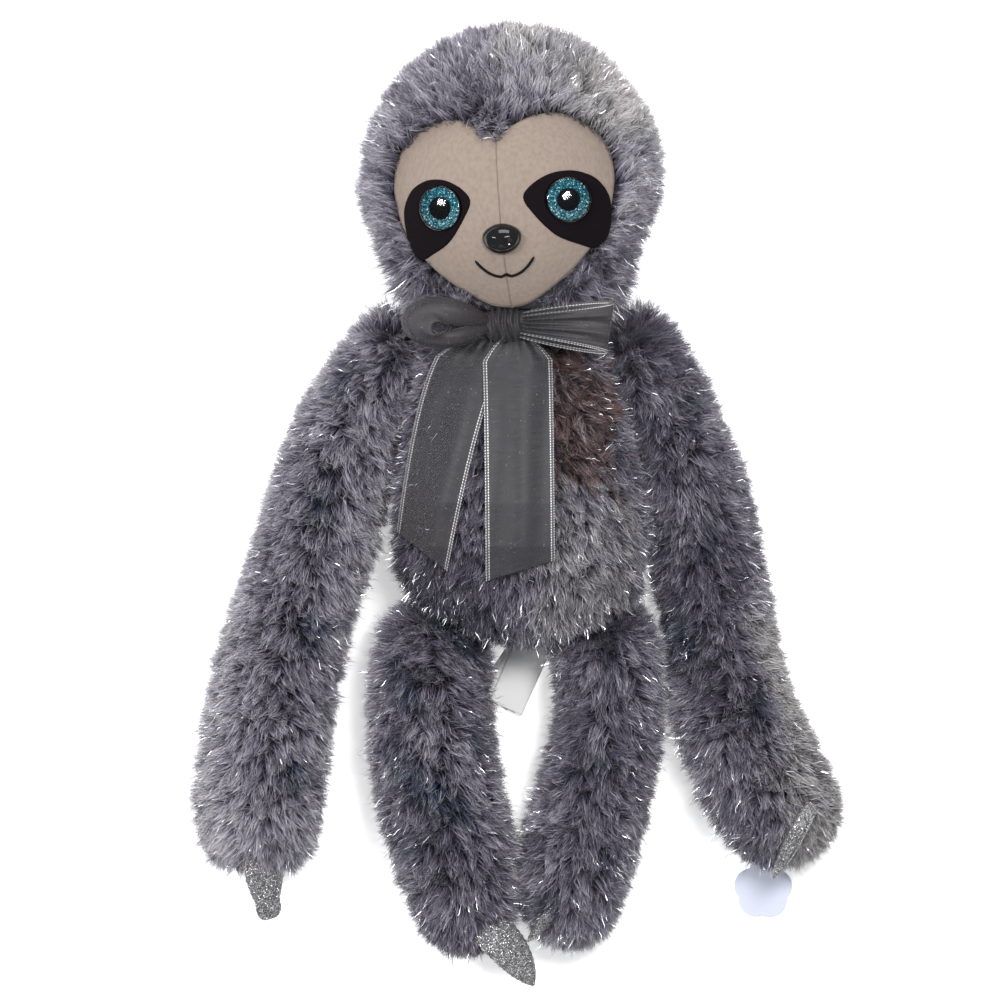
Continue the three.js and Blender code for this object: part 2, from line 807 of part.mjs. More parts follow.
function faceCutters(grow) {
  const cutters = [];
  for (const side of [-1, 1]) {
    const frame = eyeFrame(side);
    cutters.push(solid(eyeHousing(grow).applyMatrix4(frame.matrix)));
    cutters.push(solid(washer(grow).applyMatrix4(frame.matrix)));
  }
  const frame = noseFrame();
  const { x, y, z } = frame.position;
  cutters.push(noseForm(grow).translate([x, y, z]));
  cutters.push(solid(washer(grow).translate(0, 0, noseWasherDrop).applyMatrix4(frame.matrix)));
  return cutters;
}

function pressedIn(shape) {
  return faceCutters(clothGap).reduce((left, cutter) => left.subtract(cutter), shape);
}

function headShape() {
  const pile = solid(egg(headWidth, headHeight, headDepth));
  const neck = solid(everythingBelow('y', neckHeight + half(pileGap)).applyMatrix4(intoHead));
  const ground = solid(everythingBelow('z', 0).applyMatrix4(intoHead));
  const shape = pile.subtract(faceOpening()).add(faceForm());
  return pressedIn(shape).subtract(neck).subtract(ground);
}

function facePanel(side) {
  const shell = faceForm(clothGap + velourThickness).subtract(faceForm(clothGap));
  const neck = solid(everythingBelow('y', neckHeight + half(pileGap)).applyMatrix4(intoHead));
  return pressedIn(shell.intersect(prism(panelOutline(side, half(clothGap))))).subtract(neck);
}

function eyePatch(side) {
  const shell = faceForm(patchFace).subtract(faceForm(patchFace - velourThickness));
  const pile = solid(egg(headWidth, headHeight, headDepth, clothGap)).subtract(faceOpening());
  return pressedIn(shell.intersect(prism(patchOutline(side))).subtract(pile));
}

function mouthStitching() {
  const raise = clothGap + velourThickness + clothGap + half(stitchWidth);
  const steps = turnSteps;
  const places = Array.from({ length: steps + 1 }, (_, i) => {
    const across = (2 * i) / steps - 1;
    const smile = mouthRise * Math.abs(across) ** mouthCurve;
    const cusp = mouthCusp * Math.max(1 - Math.abs(across) / mouthCuspShare, 0);
    return onFace(across * half(mouthWidth), smile + cusp - mouthDrop, raise);
  });
  const round = Array.from({ length: stitchSides }, (_, i) => new THREE.Vector2(half(stitchWidth), 0)
    .rotateAround(new THREE.Vector2(), (2 * Math.PI * i) / stitchSides));
  return new THREE.ExtrudeGeometry(new THREE.Shape(round), {
    steps,
    bevelEnabled: false,
    extrudePath: new THREE.CatmullRomCurve3(places),
  });
}

// Bow

const knotMiddle = new THREE.Vector3(
  knotX,
  neckHeight - knotDrop,
  torsoFront(knotX, neckHeight - knotDrop) + 2 * clothGap + 2 * ribbonThickness + half(knotThickness),
);

const knotForm = (grow = 0) => solid(egg(knotWidth, knotHeight, knotThickness, grow, smallSteps)
  .translate(knotMiddle.x, knotMiddle.y, knotMiddle.z));

function collarShape() {
  const top = neckHeight - collarDrop;
  const slab = block(
    new THREE.Vector3(-cutterSide, top - collarWidth, -cutterSide),
    new THREE.Vector3(cutterSide, top, cutterSide),
  );
  const outer = torsoForm(clothGap + ribbonThickness);
  return outer.intersect(solid(slab)).subtract(torsoForm(clothGap));
}

// Height of a loop's middle above the knot's, as it leaves the knot and is pushed forward
function loopRise(out) {
  const share = Math.min(1, out / (loopLiftShare * flatLength));
  return loopLift * share * (2 - share);
}

// Each edge of the rolled loop leaves the knot, turns and comes back. The middle of the ribbon
// goes round the outside, and its two edges close in on the eye.
function rolledLoop(u, v) {
  const round = 2 * Math.PI * (loopTuckShare + (1 - 2 * loopTuckShare) * v);
  const bend = half(1 - Math.cos(round));
  const opening = Math.sin(half(round));
  const outerX = rolledLength * bend;
  const innerX = eyeletReach * bend;
  const outerWave = half(rolledWidth) * Math.sin(round) * opening ** rolledCurve.edge;
  const innerWave = half(eyeletWidth) * Math.sin(round) * opening ** rolledCurve.eyelet;
  const outerY = rolledRise * bend + outerWave;
  const innerY = innerWave - eyeletDrop * bend;
  const away = Math.abs(2 * u - 1);
  const inward = away ** rolledCurve.inward;
  const bulge = Math.sin((Math.PI / 2) * away ** rolledCurve.bulge) * Math.sqrt(bend);
  const x = outerX + (innerX - outerX) * inward;
  return new THREE.Vector3(
    knotX - half(knotWidth) + loopStart - x,
    knotMiddle.y + outerY + (innerY - outerY) * inward,
    knotMiddle.z + loopRise(x) + Math.sign(u - 0.5) * half(rolledDepth) * bulge,
  );
}

// The flat loop leaves the knot in front, folds back at its far end and returns behind
function flatLoop(u, v) {
  const round = Math.PI * (0.5 - v) * (1 - 2 * loopTuckShare);
  const out = flatLength * Math.cos(round);
  const share = out / flatLength;
  const front = half(1 + Math.sin(round));
  const layer = 1 - (1 - frontShare) * front;
  const spread = (gatherShare + (1 - gatherShare) * share ** flatCurve.spread) * layer;
  const across = (u - 0.5) * flatWidth * spread;
  const rise = half(flatDepth) * Math.sin(round) * share ** flatCurve.depth;
  return new THREE.Vector3(
    knotX + half(knotWidth) - loopStart + out + Math.sin(radians(flatLean)) * across,
    knotMiddle.y + across - flatDrop * share,
    knotMiddle.z + loopRise(out) + rise,
  );
}

const loopShape = (surface) => solid(sheet(surface, foldSteps, turnSteps, ribbonThickness))
  .subtract(knotForm(clothGap));

// A tail of ribbon: it leaves the knot gathered and lies down the front of the torso
function tailSurface({ side, reach, start, swing, lift, slant, narrowShare }) {
  return (u, v) => {
    const flare = Math.min(1, v / tailFlareShare);
    const spread = (gatherShare + (1 - gatherShare) * flare) * (1 - narrowShare * v);
    const across = (u - 0.5) * ribbonWidth * spread;
    const down = v * (reach + across * Math.tan(radians(slant)));
    const wave = Math.sin(Math.PI * (tailFolds * u + tailFoldDrift * v));
    const fold = tailFold * wave * Math.min(1, v / tailFoldShare);
    const x = knotX + side * (start + swing * v ** tailSwingCurve) + across;
    const y = knotMiddle.y - half(knotHeight) * tailDropShare - down;
    const rise = lift + half(ribbonThickness) + clothGap + tailFold;
    return new THREE.Vector3(x, y, torsoFront(x, y) + rise + fold);
  };
}

function tailShape(tail) {
  const surface = tailSurface(tail);
  return solid(sheet((u, v) => surface(u, 1 - v), foldSteps, tailSteps, ribbonThickness))
    .subtract(knotForm(clothGap)).subtract(torsoForm(clothGap)).subtract(collarShape());
}

// Label, hang tag and pin

function labelLeaf(index) {
  const turn = radians(labelTurn + labelFan * (index - 1));
  const level = labelLift + (index * (labelThickness + clothGap)) / labelSlope;
  const root = new THREE.Vector2(labelX, neckHeight - labelDrop);
  return sheet((u, v) => {
    const across = (0.5 - u) * labelWidth;
    const along = v * labelLength;
    const x = Math.cos(turn) * across + Math.sin(turn) * along;
    const y = Math.sin(turn) * across - Math.cos(turn) * along;
    const middleTurn = radians(labelTurn);
    const share = (x * Math.sin(middleTurn) - y * Math.cos(middleTurn)) / labelLength;
    const rise = labelRise * Math.max(1 - share / labelRiseShare, 0) ** 2;
    return new THREE.Vector3(root.x + x, root.y + y, level + half(labelThickness) + rise);
  }, 2, 14, labelThickness);
}

const tagHole = new THREE.Vector2(...pinShares).multiplyScalar(clawLength)
  .add(clawTip(clawWays.handRight));

function tagShape() {
  const origin = new THREE.Vector2();
  const radius = half(tagDiameter);
  const middle = new THREE.Vector2(radius - tagHoleInset, 0).rotateAround(origin, radians(tagTurn));
  const points = Array.from({ length: 3 * turnSteps }, (_, i) => {
    const angle = (2 * Math.PI * i) / (3 * turnSteps);
    const dip = 1 - Math.abs(Math.sin(half(angle) * tagScallops));
    const reach = radius * (1 - tagScallopShare * dip);
    return new THREE.Vector2(reach, 0).rotateAround(origin, angle).add(middle);
  });
  const outline = new THREE.Shape(points);
  const hole = new THREE.Path().absarc(0, 0, half(tagHoleDiameter), 0, 2 * Math.PI, true);
  outline.holes.push(hole);
  return new THREE.ExtrudeGeometry(outline, {
    depth: tagThickness,
    bevelEnabled: false,
    curveSegments: smallSteps,
  }).translate(tagHole.x, tagHole.y, tagLift);
}

// The filament runs up from its paddle, through the hole, to the underside of the claw's tip
function tagPin() {
  const low = tagLift - clothGap - pinPaddleThickness;
  const claw = clawForm(clawWays.handRight, clothGap);
  const filament = new THREE.CylinderGeometry(half(pinDiameter), half(pinDiameter), cutterSide, 8)
    .rotateX(Math.PI / 2).translate(tagHole.x, tagHole.y, half(cutterSide) + low);
  const paddle = new THREE.CylinderGeometry(half(pinPaddle), half(pinPaddle), pinPaddleThickness, 16)
    .rotateX(Math.PI / 2).translate(tagHole.x, tagHole.y, low + half(pinPaddleThickness));
  const pieces = solid(filament).add(solid(paddle)).subtract(claw).decompose();
  return pieces.sort((a, b) => a.boundingBox().min[2] - b.boundingBox().min[2])[0];
}

// Materials

function finish(color, roughness = 1, more = {}) {
  return new THREE.MeshStandardMaterial({ color, roughness, ...more });
}

const materials = {
  pile: finish('#7d7a8c'),
  velour: finish('#cfc4b8'),
  darkVelour: finish('#1d171a'),
  thread: finish('#2a2023', 0.7),
  blackPlastic: finish('#08080a', 0.15),
  glitter: finish('#2c8fa6', 0.3, { metalness: 0.3 }),
  clearPlastic: finish('#f4f8fa', 0.05, { transparent: true, opacity: 0.3 }),
  washerPlastic: finish('#e8e6e0', 0.5),
  organza: finish('#6f6d76', 0.6),
  silverCloth: finish('#a9a9ad', 0.4, { metalness: 0.6 }),
  label: finish('#f3f3f1', 0.8),
  card: finish('#b9bccd', 0.6),
  filament: finish('#f0f0f0', 0.3),
};

// The toy

const toy = new THREE.Group();

function piece(name, shape, material, parent = toy) {
  const slack = material === materials.pile ? pileSlack : chordSlack;
  const geometry = shape.isBufferGeometry ? shape : geometryOf(shape, slack);
  const mesh = new THREE.Mesh(geometry, material);
  mesh.name = name;
  parent.add(mesh);
  return mesh;
}

piece('torso', torsoShape(), materials.pile);
for (const [name, arm, way] of [
  ['left', arms.left, clawWays.handLeft], ['right', arms.right, clawWays.handRight],
]) {
  piece(`arm_${name}`, armShape(arm, clawForm(way, clothGap)), materials.pile);
  piece(`claw_hand_${name}`, clawShape(way, armForm(arm, clothGap)), materials.silverCloth);
}
for (const [name, leg, way] of [
  ['left', legs.left, clawWays.footLeft], ['right', legs.right, clawWays.footRight],
]) {
  piece(`leg_${name}`, legShape(leg, clawForm(way, clothGap)), materials.pile);
  piece(`claw_foot_${name}`, clawShape(way, legForm(leg, clothGap)), materials.silverCloth);
}

toy.add(headGroup);
piece('head', headShape(), materials.pile, headGroup);
for (const [name, side] of [['left', -1], ['right', 1]]) {
  piece(`face_panel_${name}`, facePanel(side), materials.velour, headGroup);
  piece(`eye_patch_${name}`, eyePatch(side), materials.darkVelour, headGroup);
  const frame = eyeFrame(side);
  headGroup.add(frame);
  piece(`eye_housing_${name}`, eyeHousing(), materials.blackPlastic, frame);
  piece(`eye_iris_${name}`, eyeIris(), materials.glitter, frame);
  piece(`eye_lens_${name}`, eyeLens(), materials.clearPlastic, frame);
  piece(`eye_washer_${name}`, washer(), materials.washerPlastic, frame);
}
const muzzle = noseFrame();
headGroup.add(muzzle);
piece('nose', noseShape(), materials.blackPlastic, muzzle);
piece('nose_washer', washer().translate(0, 0, noseWasherDrop), materials.washerPlastic, muzzle);
piece('mouth_stitching', mouthStitching(), materials.thread, headGroup);

piece('ribbon_collar', collarShape(), materials.organza);
piece('ribbon_knot', knotForm(), materials.organza);
piece('ribbon_loop_left', loopShape(rolledLoop), materials.organza);
piece('ribbon_loop_right', loopShape(flatLoop), materials.organza);
piece('ribbon_tail_left', tailShape(tails.left), materials.organza);
piece('ribbon_tail_right', tailShape(tails.right), materials.organza);

['back', 'middle', 'front'].forEach((name, index) => {
  piece(`label_leaf_${name}`, labelLeaf(index), materials.label);
});
piece('hang_tag', tagShape(), materials.card);
piece('tag_pin', tagPin(), materials.filament);

// The origin is the middle of the toy's outline on the ground that it lies on
const outline = new THREE.Box3().setFromObject(toy, true);
const middle = outline.getCenter(new THREE.Vector3());
toy.position.set(-middle.x, -middle.y, 0);

const part = new THREE.Group();
part.add(toy);

export default part;
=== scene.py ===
import math

import bmesh
import bpy
import numpy as np
from bpy.props import FloatProperty, FloatVectorProperty, IntProperty, PointerProperty
from mathutils import Matrix, Vector


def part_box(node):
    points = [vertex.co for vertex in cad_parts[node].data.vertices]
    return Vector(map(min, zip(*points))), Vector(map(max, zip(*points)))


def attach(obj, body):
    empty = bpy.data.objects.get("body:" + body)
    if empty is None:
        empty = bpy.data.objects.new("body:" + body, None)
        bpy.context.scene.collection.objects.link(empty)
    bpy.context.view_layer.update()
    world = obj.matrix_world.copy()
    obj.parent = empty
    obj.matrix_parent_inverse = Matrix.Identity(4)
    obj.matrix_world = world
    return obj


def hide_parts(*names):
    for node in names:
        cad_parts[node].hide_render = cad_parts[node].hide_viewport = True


bl_info = {
    "name": "Plush sloth with a ribbon bow",
    "version": (1, 0, 0),
    "blender": (4, 5, 0),
    "location": "View3D > Sidebar > Plush sloth",
    "description": "Dresses the sloth's frame with its pile, face, bow, claws and tags",
    "category": "Object",
}

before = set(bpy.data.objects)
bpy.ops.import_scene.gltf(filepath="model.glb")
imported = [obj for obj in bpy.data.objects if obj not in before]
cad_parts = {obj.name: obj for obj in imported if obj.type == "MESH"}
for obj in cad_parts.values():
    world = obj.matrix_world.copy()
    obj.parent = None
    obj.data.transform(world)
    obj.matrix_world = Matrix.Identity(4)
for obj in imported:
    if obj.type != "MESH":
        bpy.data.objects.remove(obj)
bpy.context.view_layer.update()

MM = 0.001

# The toy's own middle, found from the tag's pin, whose place on the pattern is known
PIN_PLACE = (135.5 * MM, -193.5 * MM)
pin_low, pin_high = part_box("tag_pin")
TOY = Vector((*((pin_low[k] + pin_high[k]) / 2 - PIN_PLACE[k] for k in range(2)), 0))
SIDES = (("left", -1), ("right", 1))

NECK = 100.3 * MM
HEAD_CENTRE = Vector((-1.3, 173.2, 65)) * MM
HEAD_TURN = math.radians(-8)
HEAD_ROLL = math.radians(3.8)
FACE_HALF = Vector((70, 73, 58)) * MM
FACE_MIDDLE = Vector((0, -14, 2)) * MM
FACE_FOCUS = np.array([0, -22 * MM])
HEAD_HALF = Vector((79.5, 76.5, 65.5)) * MM
EYE = Vector((32.4, -18.75, 0)) * MM
EYE_SHIFT = 1.9 * MM
SEAM_GAP = 0.04 * MM
MOUTH_HALF_WIDTH = 15 * MM
MOUTH_Y = -55.5 * MM
MOUTH_RISE = 9 * MM
MOUTH_DIP = 1.2 * MM
THREAD_RADIUS = 0.72 * MM
THREAD_LIFT = 1.9 * MM
VELOUR = 1.1 * MM
VELOUR_LIFT = 1.5 * MM
PATCH_LIFT = 1.1 * MM
PATCH_VELOUR = 0.9 * MM
EYE_LIFT = 2.6 * MM
EYE_HOLE = 11.4 * MM
HAIR_PEAK_X = -7 * MM
PATCH = Vector((32.1, -18.75, 0)) * MM
PATCH_WIDTHS = {"left": 36.4 / 39.5, "right": 41.3 / 39.5}
EYE_TURN = math.radians(16)
EYE_TILT = math.radians(3)
NOSE = Vector((0, -36.7, 0)) * MM
HEAD_MATRIX = (
    Matrix.Translation(TOY + HEAD_CENTRE)
    @ Matrix.Rotation(HEAD_ROLL, 4, "Z")
    @ Matrix.Rotation(HEAD_TURN, 4, "Y")
)

# Half of the face's edge, from the chin round to the peak of the hair line
FACE_EDGE = [
    (0, -70), (9, -68.5), (19, -62.5), (30.5, -54.5), (43, -41.5), (52, -26.8), (55.5, -9), (53.6, 5.8),
    (46.6, 15.9), (36.6, 22.6), (27.8, 25), (17.8, 24), (7.8, 19.2), (0, 13),
]
EYE_PATCH_EDGE = [
    (-18.8, 2.8), (-14.2, 9), (-5.9, 13.6), (2, 14.8), (8.9, 13.6), (15.8, 9.4), (20.5, 0.8),
    (20.7, -10), (18.2, -19.6), (12.6, -25.2), (5.9, -23.2), (-5.3, -17.2), (-15.2, -5.2),
]

TORSO_X = -2 * MM
TORSO_LENGTH = 176 * MM
TORSO_BOTTOM = NECK - 0.35 * MM - TORSO_LENGTH
TORSO_MIDDLE = 53 * MM
# Height above the seat, half width, half depth and shift to the right
TORSO_STATIONS = np.array([
    (0, 1.3, 1.1, 7), (3.5, 24.1, 18.7, 7), (14.1, 46.9, 35.3, 7), (31.7, 62, 47.6, 6.3),
    (52.8, 67, 52.2, 5.2), (75.7, 67.7, 53.5, 4.2), (105.6, 62.3, 51.1, 2.8),
    (135.5, 56.3, 46.5, 1.4), (155.8, 48.9, 41.7, 0.7), (167.2, 42.9, 38, 0), (176, 37.5, 34.8, 0),
]) * MM

SHOULDER_LEFT = Vector((-65.5, 70.3, 36)) * MM
SHOULDER_RIGHT = Vector((61.5, 70.3, 36)) * MM
SHOULDER_RADIUS = 29 * MM
HIP_LEFT = Vector((-42, -77.7, 35)) * MM
HIP_RIGHT = Vector((46, -77.7, 35)) * MM
HIP_RADIUS = 31 * MM

KNOT = Vector((-5.5, 91.9, 98.4)) * MM
KNOT_HALF = Vector((10.5, 7.3, 5.5)) * MM
KNOT_FULL = Vector((11.6, 8.6, 6.2)) * MM
RIBBON_WIDTH = 36 * MM
ORGANZA = 0.35 * MM
HEM = 3 * MM
GATHER = 0.34

# Where the fur stands out further or less: place on the pattern, reach and added length
PILE_TRIM = {
    "head": [(-78, 157, 18, 4), (-68, 123, 16, 6), (-57, 110, 15, 9), (56, 112, 14, 8),
             (-36, 100, 18, 12), (34, 100, 18, 12), (60, 217, 24, -3)],
    "torso": [(-64, -35, 14, 4), (69, -46, 12, 4), (-55, 96, 14, 9), (55, 98, 14, 9)],
    "arm_left": [(-64, 105, 17, 9), (-167, -145, 22, 3), (-143, -35, 25, -2), (-156, -186, 14, 3),
                 (-112, -186, 14, 3)],
    "arm_right": [(63, 105, 17, 10), (91, 79, 22, 3), (148, -98, 30, -4), (96, -155, 26, 4),
                  (83, -108, 22, 4), (150, -187, 12, 3)],
    "leg_left": [(-76, -77, 32, 3), (-68, -181, 28, 2), (-64, -35, 14, 4), (1, -190, 20, 4)],
    "leg_right": [(79, -98, 28, 3), (70, -155, 24, -2), (18, -98, 20, -2), (69, -46, 12, 4),
                  (1, -190, 20, 4)],
}

PILE_FACES = 195000
STRAND_FACES = 5
STRAND_POINTS = 7
LOWEST_STRAND = 0.3 * MM
LOWEST_SKIN = 0.6 * MM


def a_length(name, description, default, least, most):
    return FloatProperty(name=name, description=description, default=default, min=least, max=most,
                         subtype="DISTANCE", unit="LENGTH")


def a_colour(name, description, default):
    return FloatVectorProperty(name=name, description=description, default=default, min=0, max=1,
                               subtype="COLOR")


class SlothSizes(bpy.types.PropertyGroup):
    pile_length: a_length(
        "Pile length", "Length of the fur from its backing to its tips", 0.0142, 0.004, 0.02)
    pile_depth: a_length(
        "Pile depth", "Depth of the fur on a form, from its tips to its backing", 0.0112, 0.003, 0.018)
    tuft_spacing: a_length(
        "Tuft spacing", "Distance between the middles of two tufts of fur", 0.0033, 0.002, 0.01)
    clump_spacing: a_length(
        "Clump spacing", "Distance between the middles of two clumps of tufts", 0.0085, 0.004, 0.03)
    strands_in_tuft: IntProperty(
        name="Strands in a tuft", description="How many strands each tuft of fur has",
        default=16, min=3, max=40)
    strand_width: a_length(
        "Strand width", "Width of a strand of fur near its root", 0.00042, 0.0001, 0.001)
    tinsel_share: FloatProperty(
        name="Tinsel share", description="How many silver filaments there are for each strand of fur",
        default=0.05, min=0, max=0.2)
    tinsel_width: a_length(
        "Tinsel width", "Width of a silver filament in the fur", 0.00024, 0.0001, 0.001)


class SlothColours(bpy.types.PropertyGroup):
    velour: a_colour("Velour", "Colour of the face", (0.225, 0.184, 0.155))
    dark_velour: a_colour("Dark velour", "Colour of the patches round the eyes", (0.0045, 0.003, 0.004))
    organza: a_colour("Organza", "Colour of the ribbon", (0.034, 0.033, 0.038))
    silver: a_colour("Silver", "Colour of the tinsel and the ribbon's edges", (0.86, 0.85, 0.86))
    iris: a_colour("Iris", "Colour of the glitter round the pupils", (0.003, 0.036, 0.052))


def sizes():
    return bpy.context.scene.sloth_sizes


def colours():
    return bpy.context.scene.sloth_colours


# Meshes


def add_object(name, mesh):
    made = bpy.data.objects.new(name, mesh)
    bpy.context.scene.collection.objects.link(made)
    return made


def build_mesh(name, points, quads, triangles=None, uv=None):
    """A mesh from arrays. uv has one row for each point."""
    mesh = bpy.data.meshes.new(name)
    quads = np.asarray(quads, np.int32).reshape(-1, 4)
    triangles = np.asarray([] if triangles is None else triangles, np.int32).reshape(-1, 3)
    corners = np.concatenate([quads.ravel(), triangles.ravel()])
    starts = np.concatenate([
        np.arange(len(quads)) * 4,
        4 * len(quads) + np.arange(len(triangles)) * 3,
    ])
    mesh.vertices.add(len(points))
    mesh.vertices.foreach_set("co", np.asarray(points, np.float32).ravel())
    mesh.loops.add(len(corners))
    mesh.loops.foreach_set("vertex_index", corners)
    mesh.polygons.add(len(starts))
    mesh.polygons.foreach_set("loop_start", starts.astype(np.int32))
    if uv is not None:
        layer = mesh.uv_layers.new(name="OFBake")
        layer.uv.foreach_set("vector", np.asarray(uv, np.float32)[corners].ravel())
    mesh.update(calc_edges=True)
    mesh.validate()
    return mesh


def dress(mesh, finish, body, *nodes, slot=None):
    """A finished piece: it has its material, rides its body and stands for its nodes."""
    made = add_object(mesh.name, mesh)
    mesh.materials.append(material(finish))
    mesh.polygons.foreach_set("use_smooth", np.ones(len(mesh.polygons), bool))
    mesh.update()
    if nodes:
        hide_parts(*nodes)
    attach(made, body)
    return made


def closed_sheet(surface, across, along, thickness):
    """Points, quads and uv of a thin closed sheet over surface(u, v), given in arrays."""
    u, v = np.meshgrid(np.linspace(0, 1, across + 1), np.linspace(0, 1, along + 1))
    step = 1e-3
    middle = surface(u, v)
    du = surface(np.clip(u + step, 0, 1), v) - surface(np.clip(u - step, 0, 1), v)
    dv = surface(u, np.clip(v + step, 0, 1)) - surface(u, np.clip(v - step, 0, 1))
    normal = np.cross(du, dv)
    normal /= np.maximum(np.linalg.norm(normal, axis=-1, keepdims=True), 1e-12)
    points = np.concatenate([
        (middle + normal * thickness / 2).reshape(-1, 3),
        (middle - normal * thickness / 2).reshape(-1, 3),
    ])
    row = across + 1
    layer = row * (along + 1)
    j, i = np.meshgrid(np.arange(along), np.arange(across), indexing="ij")
    a = (j * row + i).ravel()
    top = np.stack([a, a + 1, a + row + 1, a + row], 1)
    bottom = np.stack([a, a + row, a + row + 1, a + 1], 1) + layer
    left = np.arange(along) * row
    right = left + across
    low = np.arange(across)
    high = low + along * row
    rim = np.concatenate([
        np.stack([left, left + row, left + row + layer, left + layer], 1),
        np.stack([right, right + layer, right + row + layer, right + row], 1),
        np.stack([low, low + layer, low + 1 + layer, low + 1], 1),
        np.stack([high, high + 1, high + 1 + layer, high + layer], 1),
    ])
    uv = np.stack([u.ravel(), v.ravel()], 1)
    return points, np.concatenate([top, bottom, rim]), np.concatenate([uv, uv])


def ring_faces(rings, around):
    """Quads between rings of points, and fans to the two end points that follow them."""
    i = np.arange(around)
    after = (i + 1) % around
    near = np.arange(rings - 1)[:, None] * around
    far = near + around
    quads = np.stack([near + i, near + after, far + after, far + i], -1).reshape(-1, 4)
    end = (rings - 1) * around
    fans = np.concatenate([
        np.stack([np.full(around, end + around), after, i], 1),
        np.stack([np.full(around, end + around + 1), end + i, end + after], 1),
    ])
    return quads, fans


def flipped(faces):
    return np.concatenate([faces[:, :1], faces[:, :0:-1]], 1)


def turned(profile, steps=64):
    """Points and faces of a closed form turned about Z. The profile starts and ends on the axis."""
    profile = np.asarray(profile, float)
    angle = np.arange(steps) * 2 * np.pi / steps
    ring = profile[1:-1]
    points = np.stack([
        np.outer(ring[:, 0], np.cos(angle)),
        np.outer(ring[:, 0], np.sin(angle)),
        np.repeat(ring[:, 1:2], steps, 1),
    ], -1).reshape(-1, 3)
    points = np.concatenate([points, [[0, 0, profile[0, 1]]], [[0, 0, profile[-1, 1]]]])
    return points, *ring_faces(len(ring), steps)


def rounded(profile, radius, steps=4):
    """The profile with each inner corner rounded."""
    profile = [np.array(p, float) for p in profile]
    out = [profile[0]]
    for before, corner, after in zip(profile, profile[1:], profile[2:]):
        way_in, way_out = before - corner, after - corner
        reach_in, reach_out = np.linalg.norm(way_in), np.linalg.norm(way_out)
        reach = min(radius, reach_in / 2.1, reach_out / 2.1)
        a = corner + way_in / reach_in * reach
        b = corner + way_out / reach_out * reach
        for k in range(steps + 1):
            t = k / steps
            out.append((1 - t) ** 2 * a + 2 * t * (1 - t) * corner + t * t * b)
    out.append(profile[-1])
    return out


def smooth_loop(points, count):
    """A closed smooth curve through 2-D points, evenly divided."""
    p = np.asarray(points, float)
    n = len(p)
    t = np.linspace(0, n, 16 * n, endpoint=False)
    k = np.floor(t).astype(int)
    f = (t - k)[:, None]
    a, b, c, d = p[(k - 1) % n], p[k % n], p[(k + 1) % n], p[(k + 2) % n]
    curve = 0.5 * (
        2 * b + (c - a) * f + (2 * a - 5 * b + 4 * c - d) * f ** 2
        + (3 * b - a - 3 * c + d) * f ** 3
    )
    closed = np.concatenate([curve, curve[:1]])
    reach = np.concatenate([[0], np.cumsum(np.linalg.norm(np.diff(closed, axis=0), axis=1))])
    at = np.linspace(0, reach[-1], count, endpoint=False)
    return np.stack([np.interp(at, reach, closed[:, i]) for i in range(2)], 1)


def placed(points, matrix):
    m = np.array(matrix)
    return np.asarray(points) @ m[:3, :3].T + m[:3, 3]


# Materials


class Nodes:
    """A short way to build a material's nodes."""

    def __init__(self, name):
        self.material = bpy.data.materials.new(name)
        self.material.use_nodes = True
        self.tree = self.material.node_tree
        self.shader = self.tree.nodes["Principled BSDF"]

    def set(self, **values):
        """Sets what is the same all over, and gives back the finished material."""
        for name, value in values.items():
            socket = name.replace("_", " ").title().replace("Ior", "IOR")
            self.shader.inputs[socket].default_value = value
        return self.material

    def add(self, kind, inputs=None, **attributes):
        node = self.tree.nodes.new("ShaderNode" + kind)
        for name, value in attributes.items():
            setattr(node, name, value)
        for key, value in (inputs or {}).items():
            if isinstance(value, bpy.types.NodeSocket):
                self.tree.links.new(value, node.inputs[key])
            else:
                node.inputs[key].default_value = value
        return node

    def math(self, operation, a, b=0.0, c=0.0, clamp=False):
        return self.add("Math", {0: a, 1: b, 2: c}, operation=operation, use_clamp=clamp).outputs[0]

    def times(self, a, b):
        return self.math("MULTIPLY", a, b)

    def ramp(self, factor, stops):
        node = self.add("ValToRGB", {"Fac": factor})
        elements = node.color_ramp.elements
        while len(elements) < len(stops):
            elements.new(0.5)
        for element, (place, colour) in zip(elements, stops):
            element.position = place
            element.color = (*colour, 1)
        return node.outputs["Color"]

    def noise(self, scale, detail=3.0, vector=None):
        place = {} if vector is None else {"Vector": vector}
        return self.add("TexNoise", {"Scale": scale, "Detail": detail, **place}).outputs["Fac"]

    def uv(self, name="OFBake"):
        """The places across and along a UV map."""
        return self.add("SeparateXYZ", {0: self.add("UVMap", uv_map=name).outputs[0]}).outputs[:2]

    def vector(self, x, y):
        return self.add("CombineXYZ", {0: x, 1: y}).outputs[0]

    def mix(self, factor, a, b, blend="MIX"):
        a, b = ((*value, 1) if isinstance(value, tuple) else value for value in (a, b))
        return self.add("Mix", {0: factor, 6: a, 7: b}, data_type="RGBA", blend_type=blend).outputs[2]

    def link(self, value, name):
        self.tree.links.new(value, self.shader.inputs[name])

    def base(self, colour):
        self.link(colour, "Base Color")

    def bump(self, height, strength, distance):
        node = self.add("Bump", {"Strength": strength, "Distance": distance, "Height": height})
        self.link(node.outputs[0], "Normal")


def grey(value):
    return (value,) * 3


def shades(colour, *factors):
    return tuple(part * factor for part, factor in zip(colour, factors))


def srgb(code):
    values = [int(code[i:i + 2], 16) / 255 for i in (1, 3, 5)]
    return tuple(v / 12.92 if v <= 0.04045 else ((v + 0.055) / 1.055) ** 2.4 for v in values)


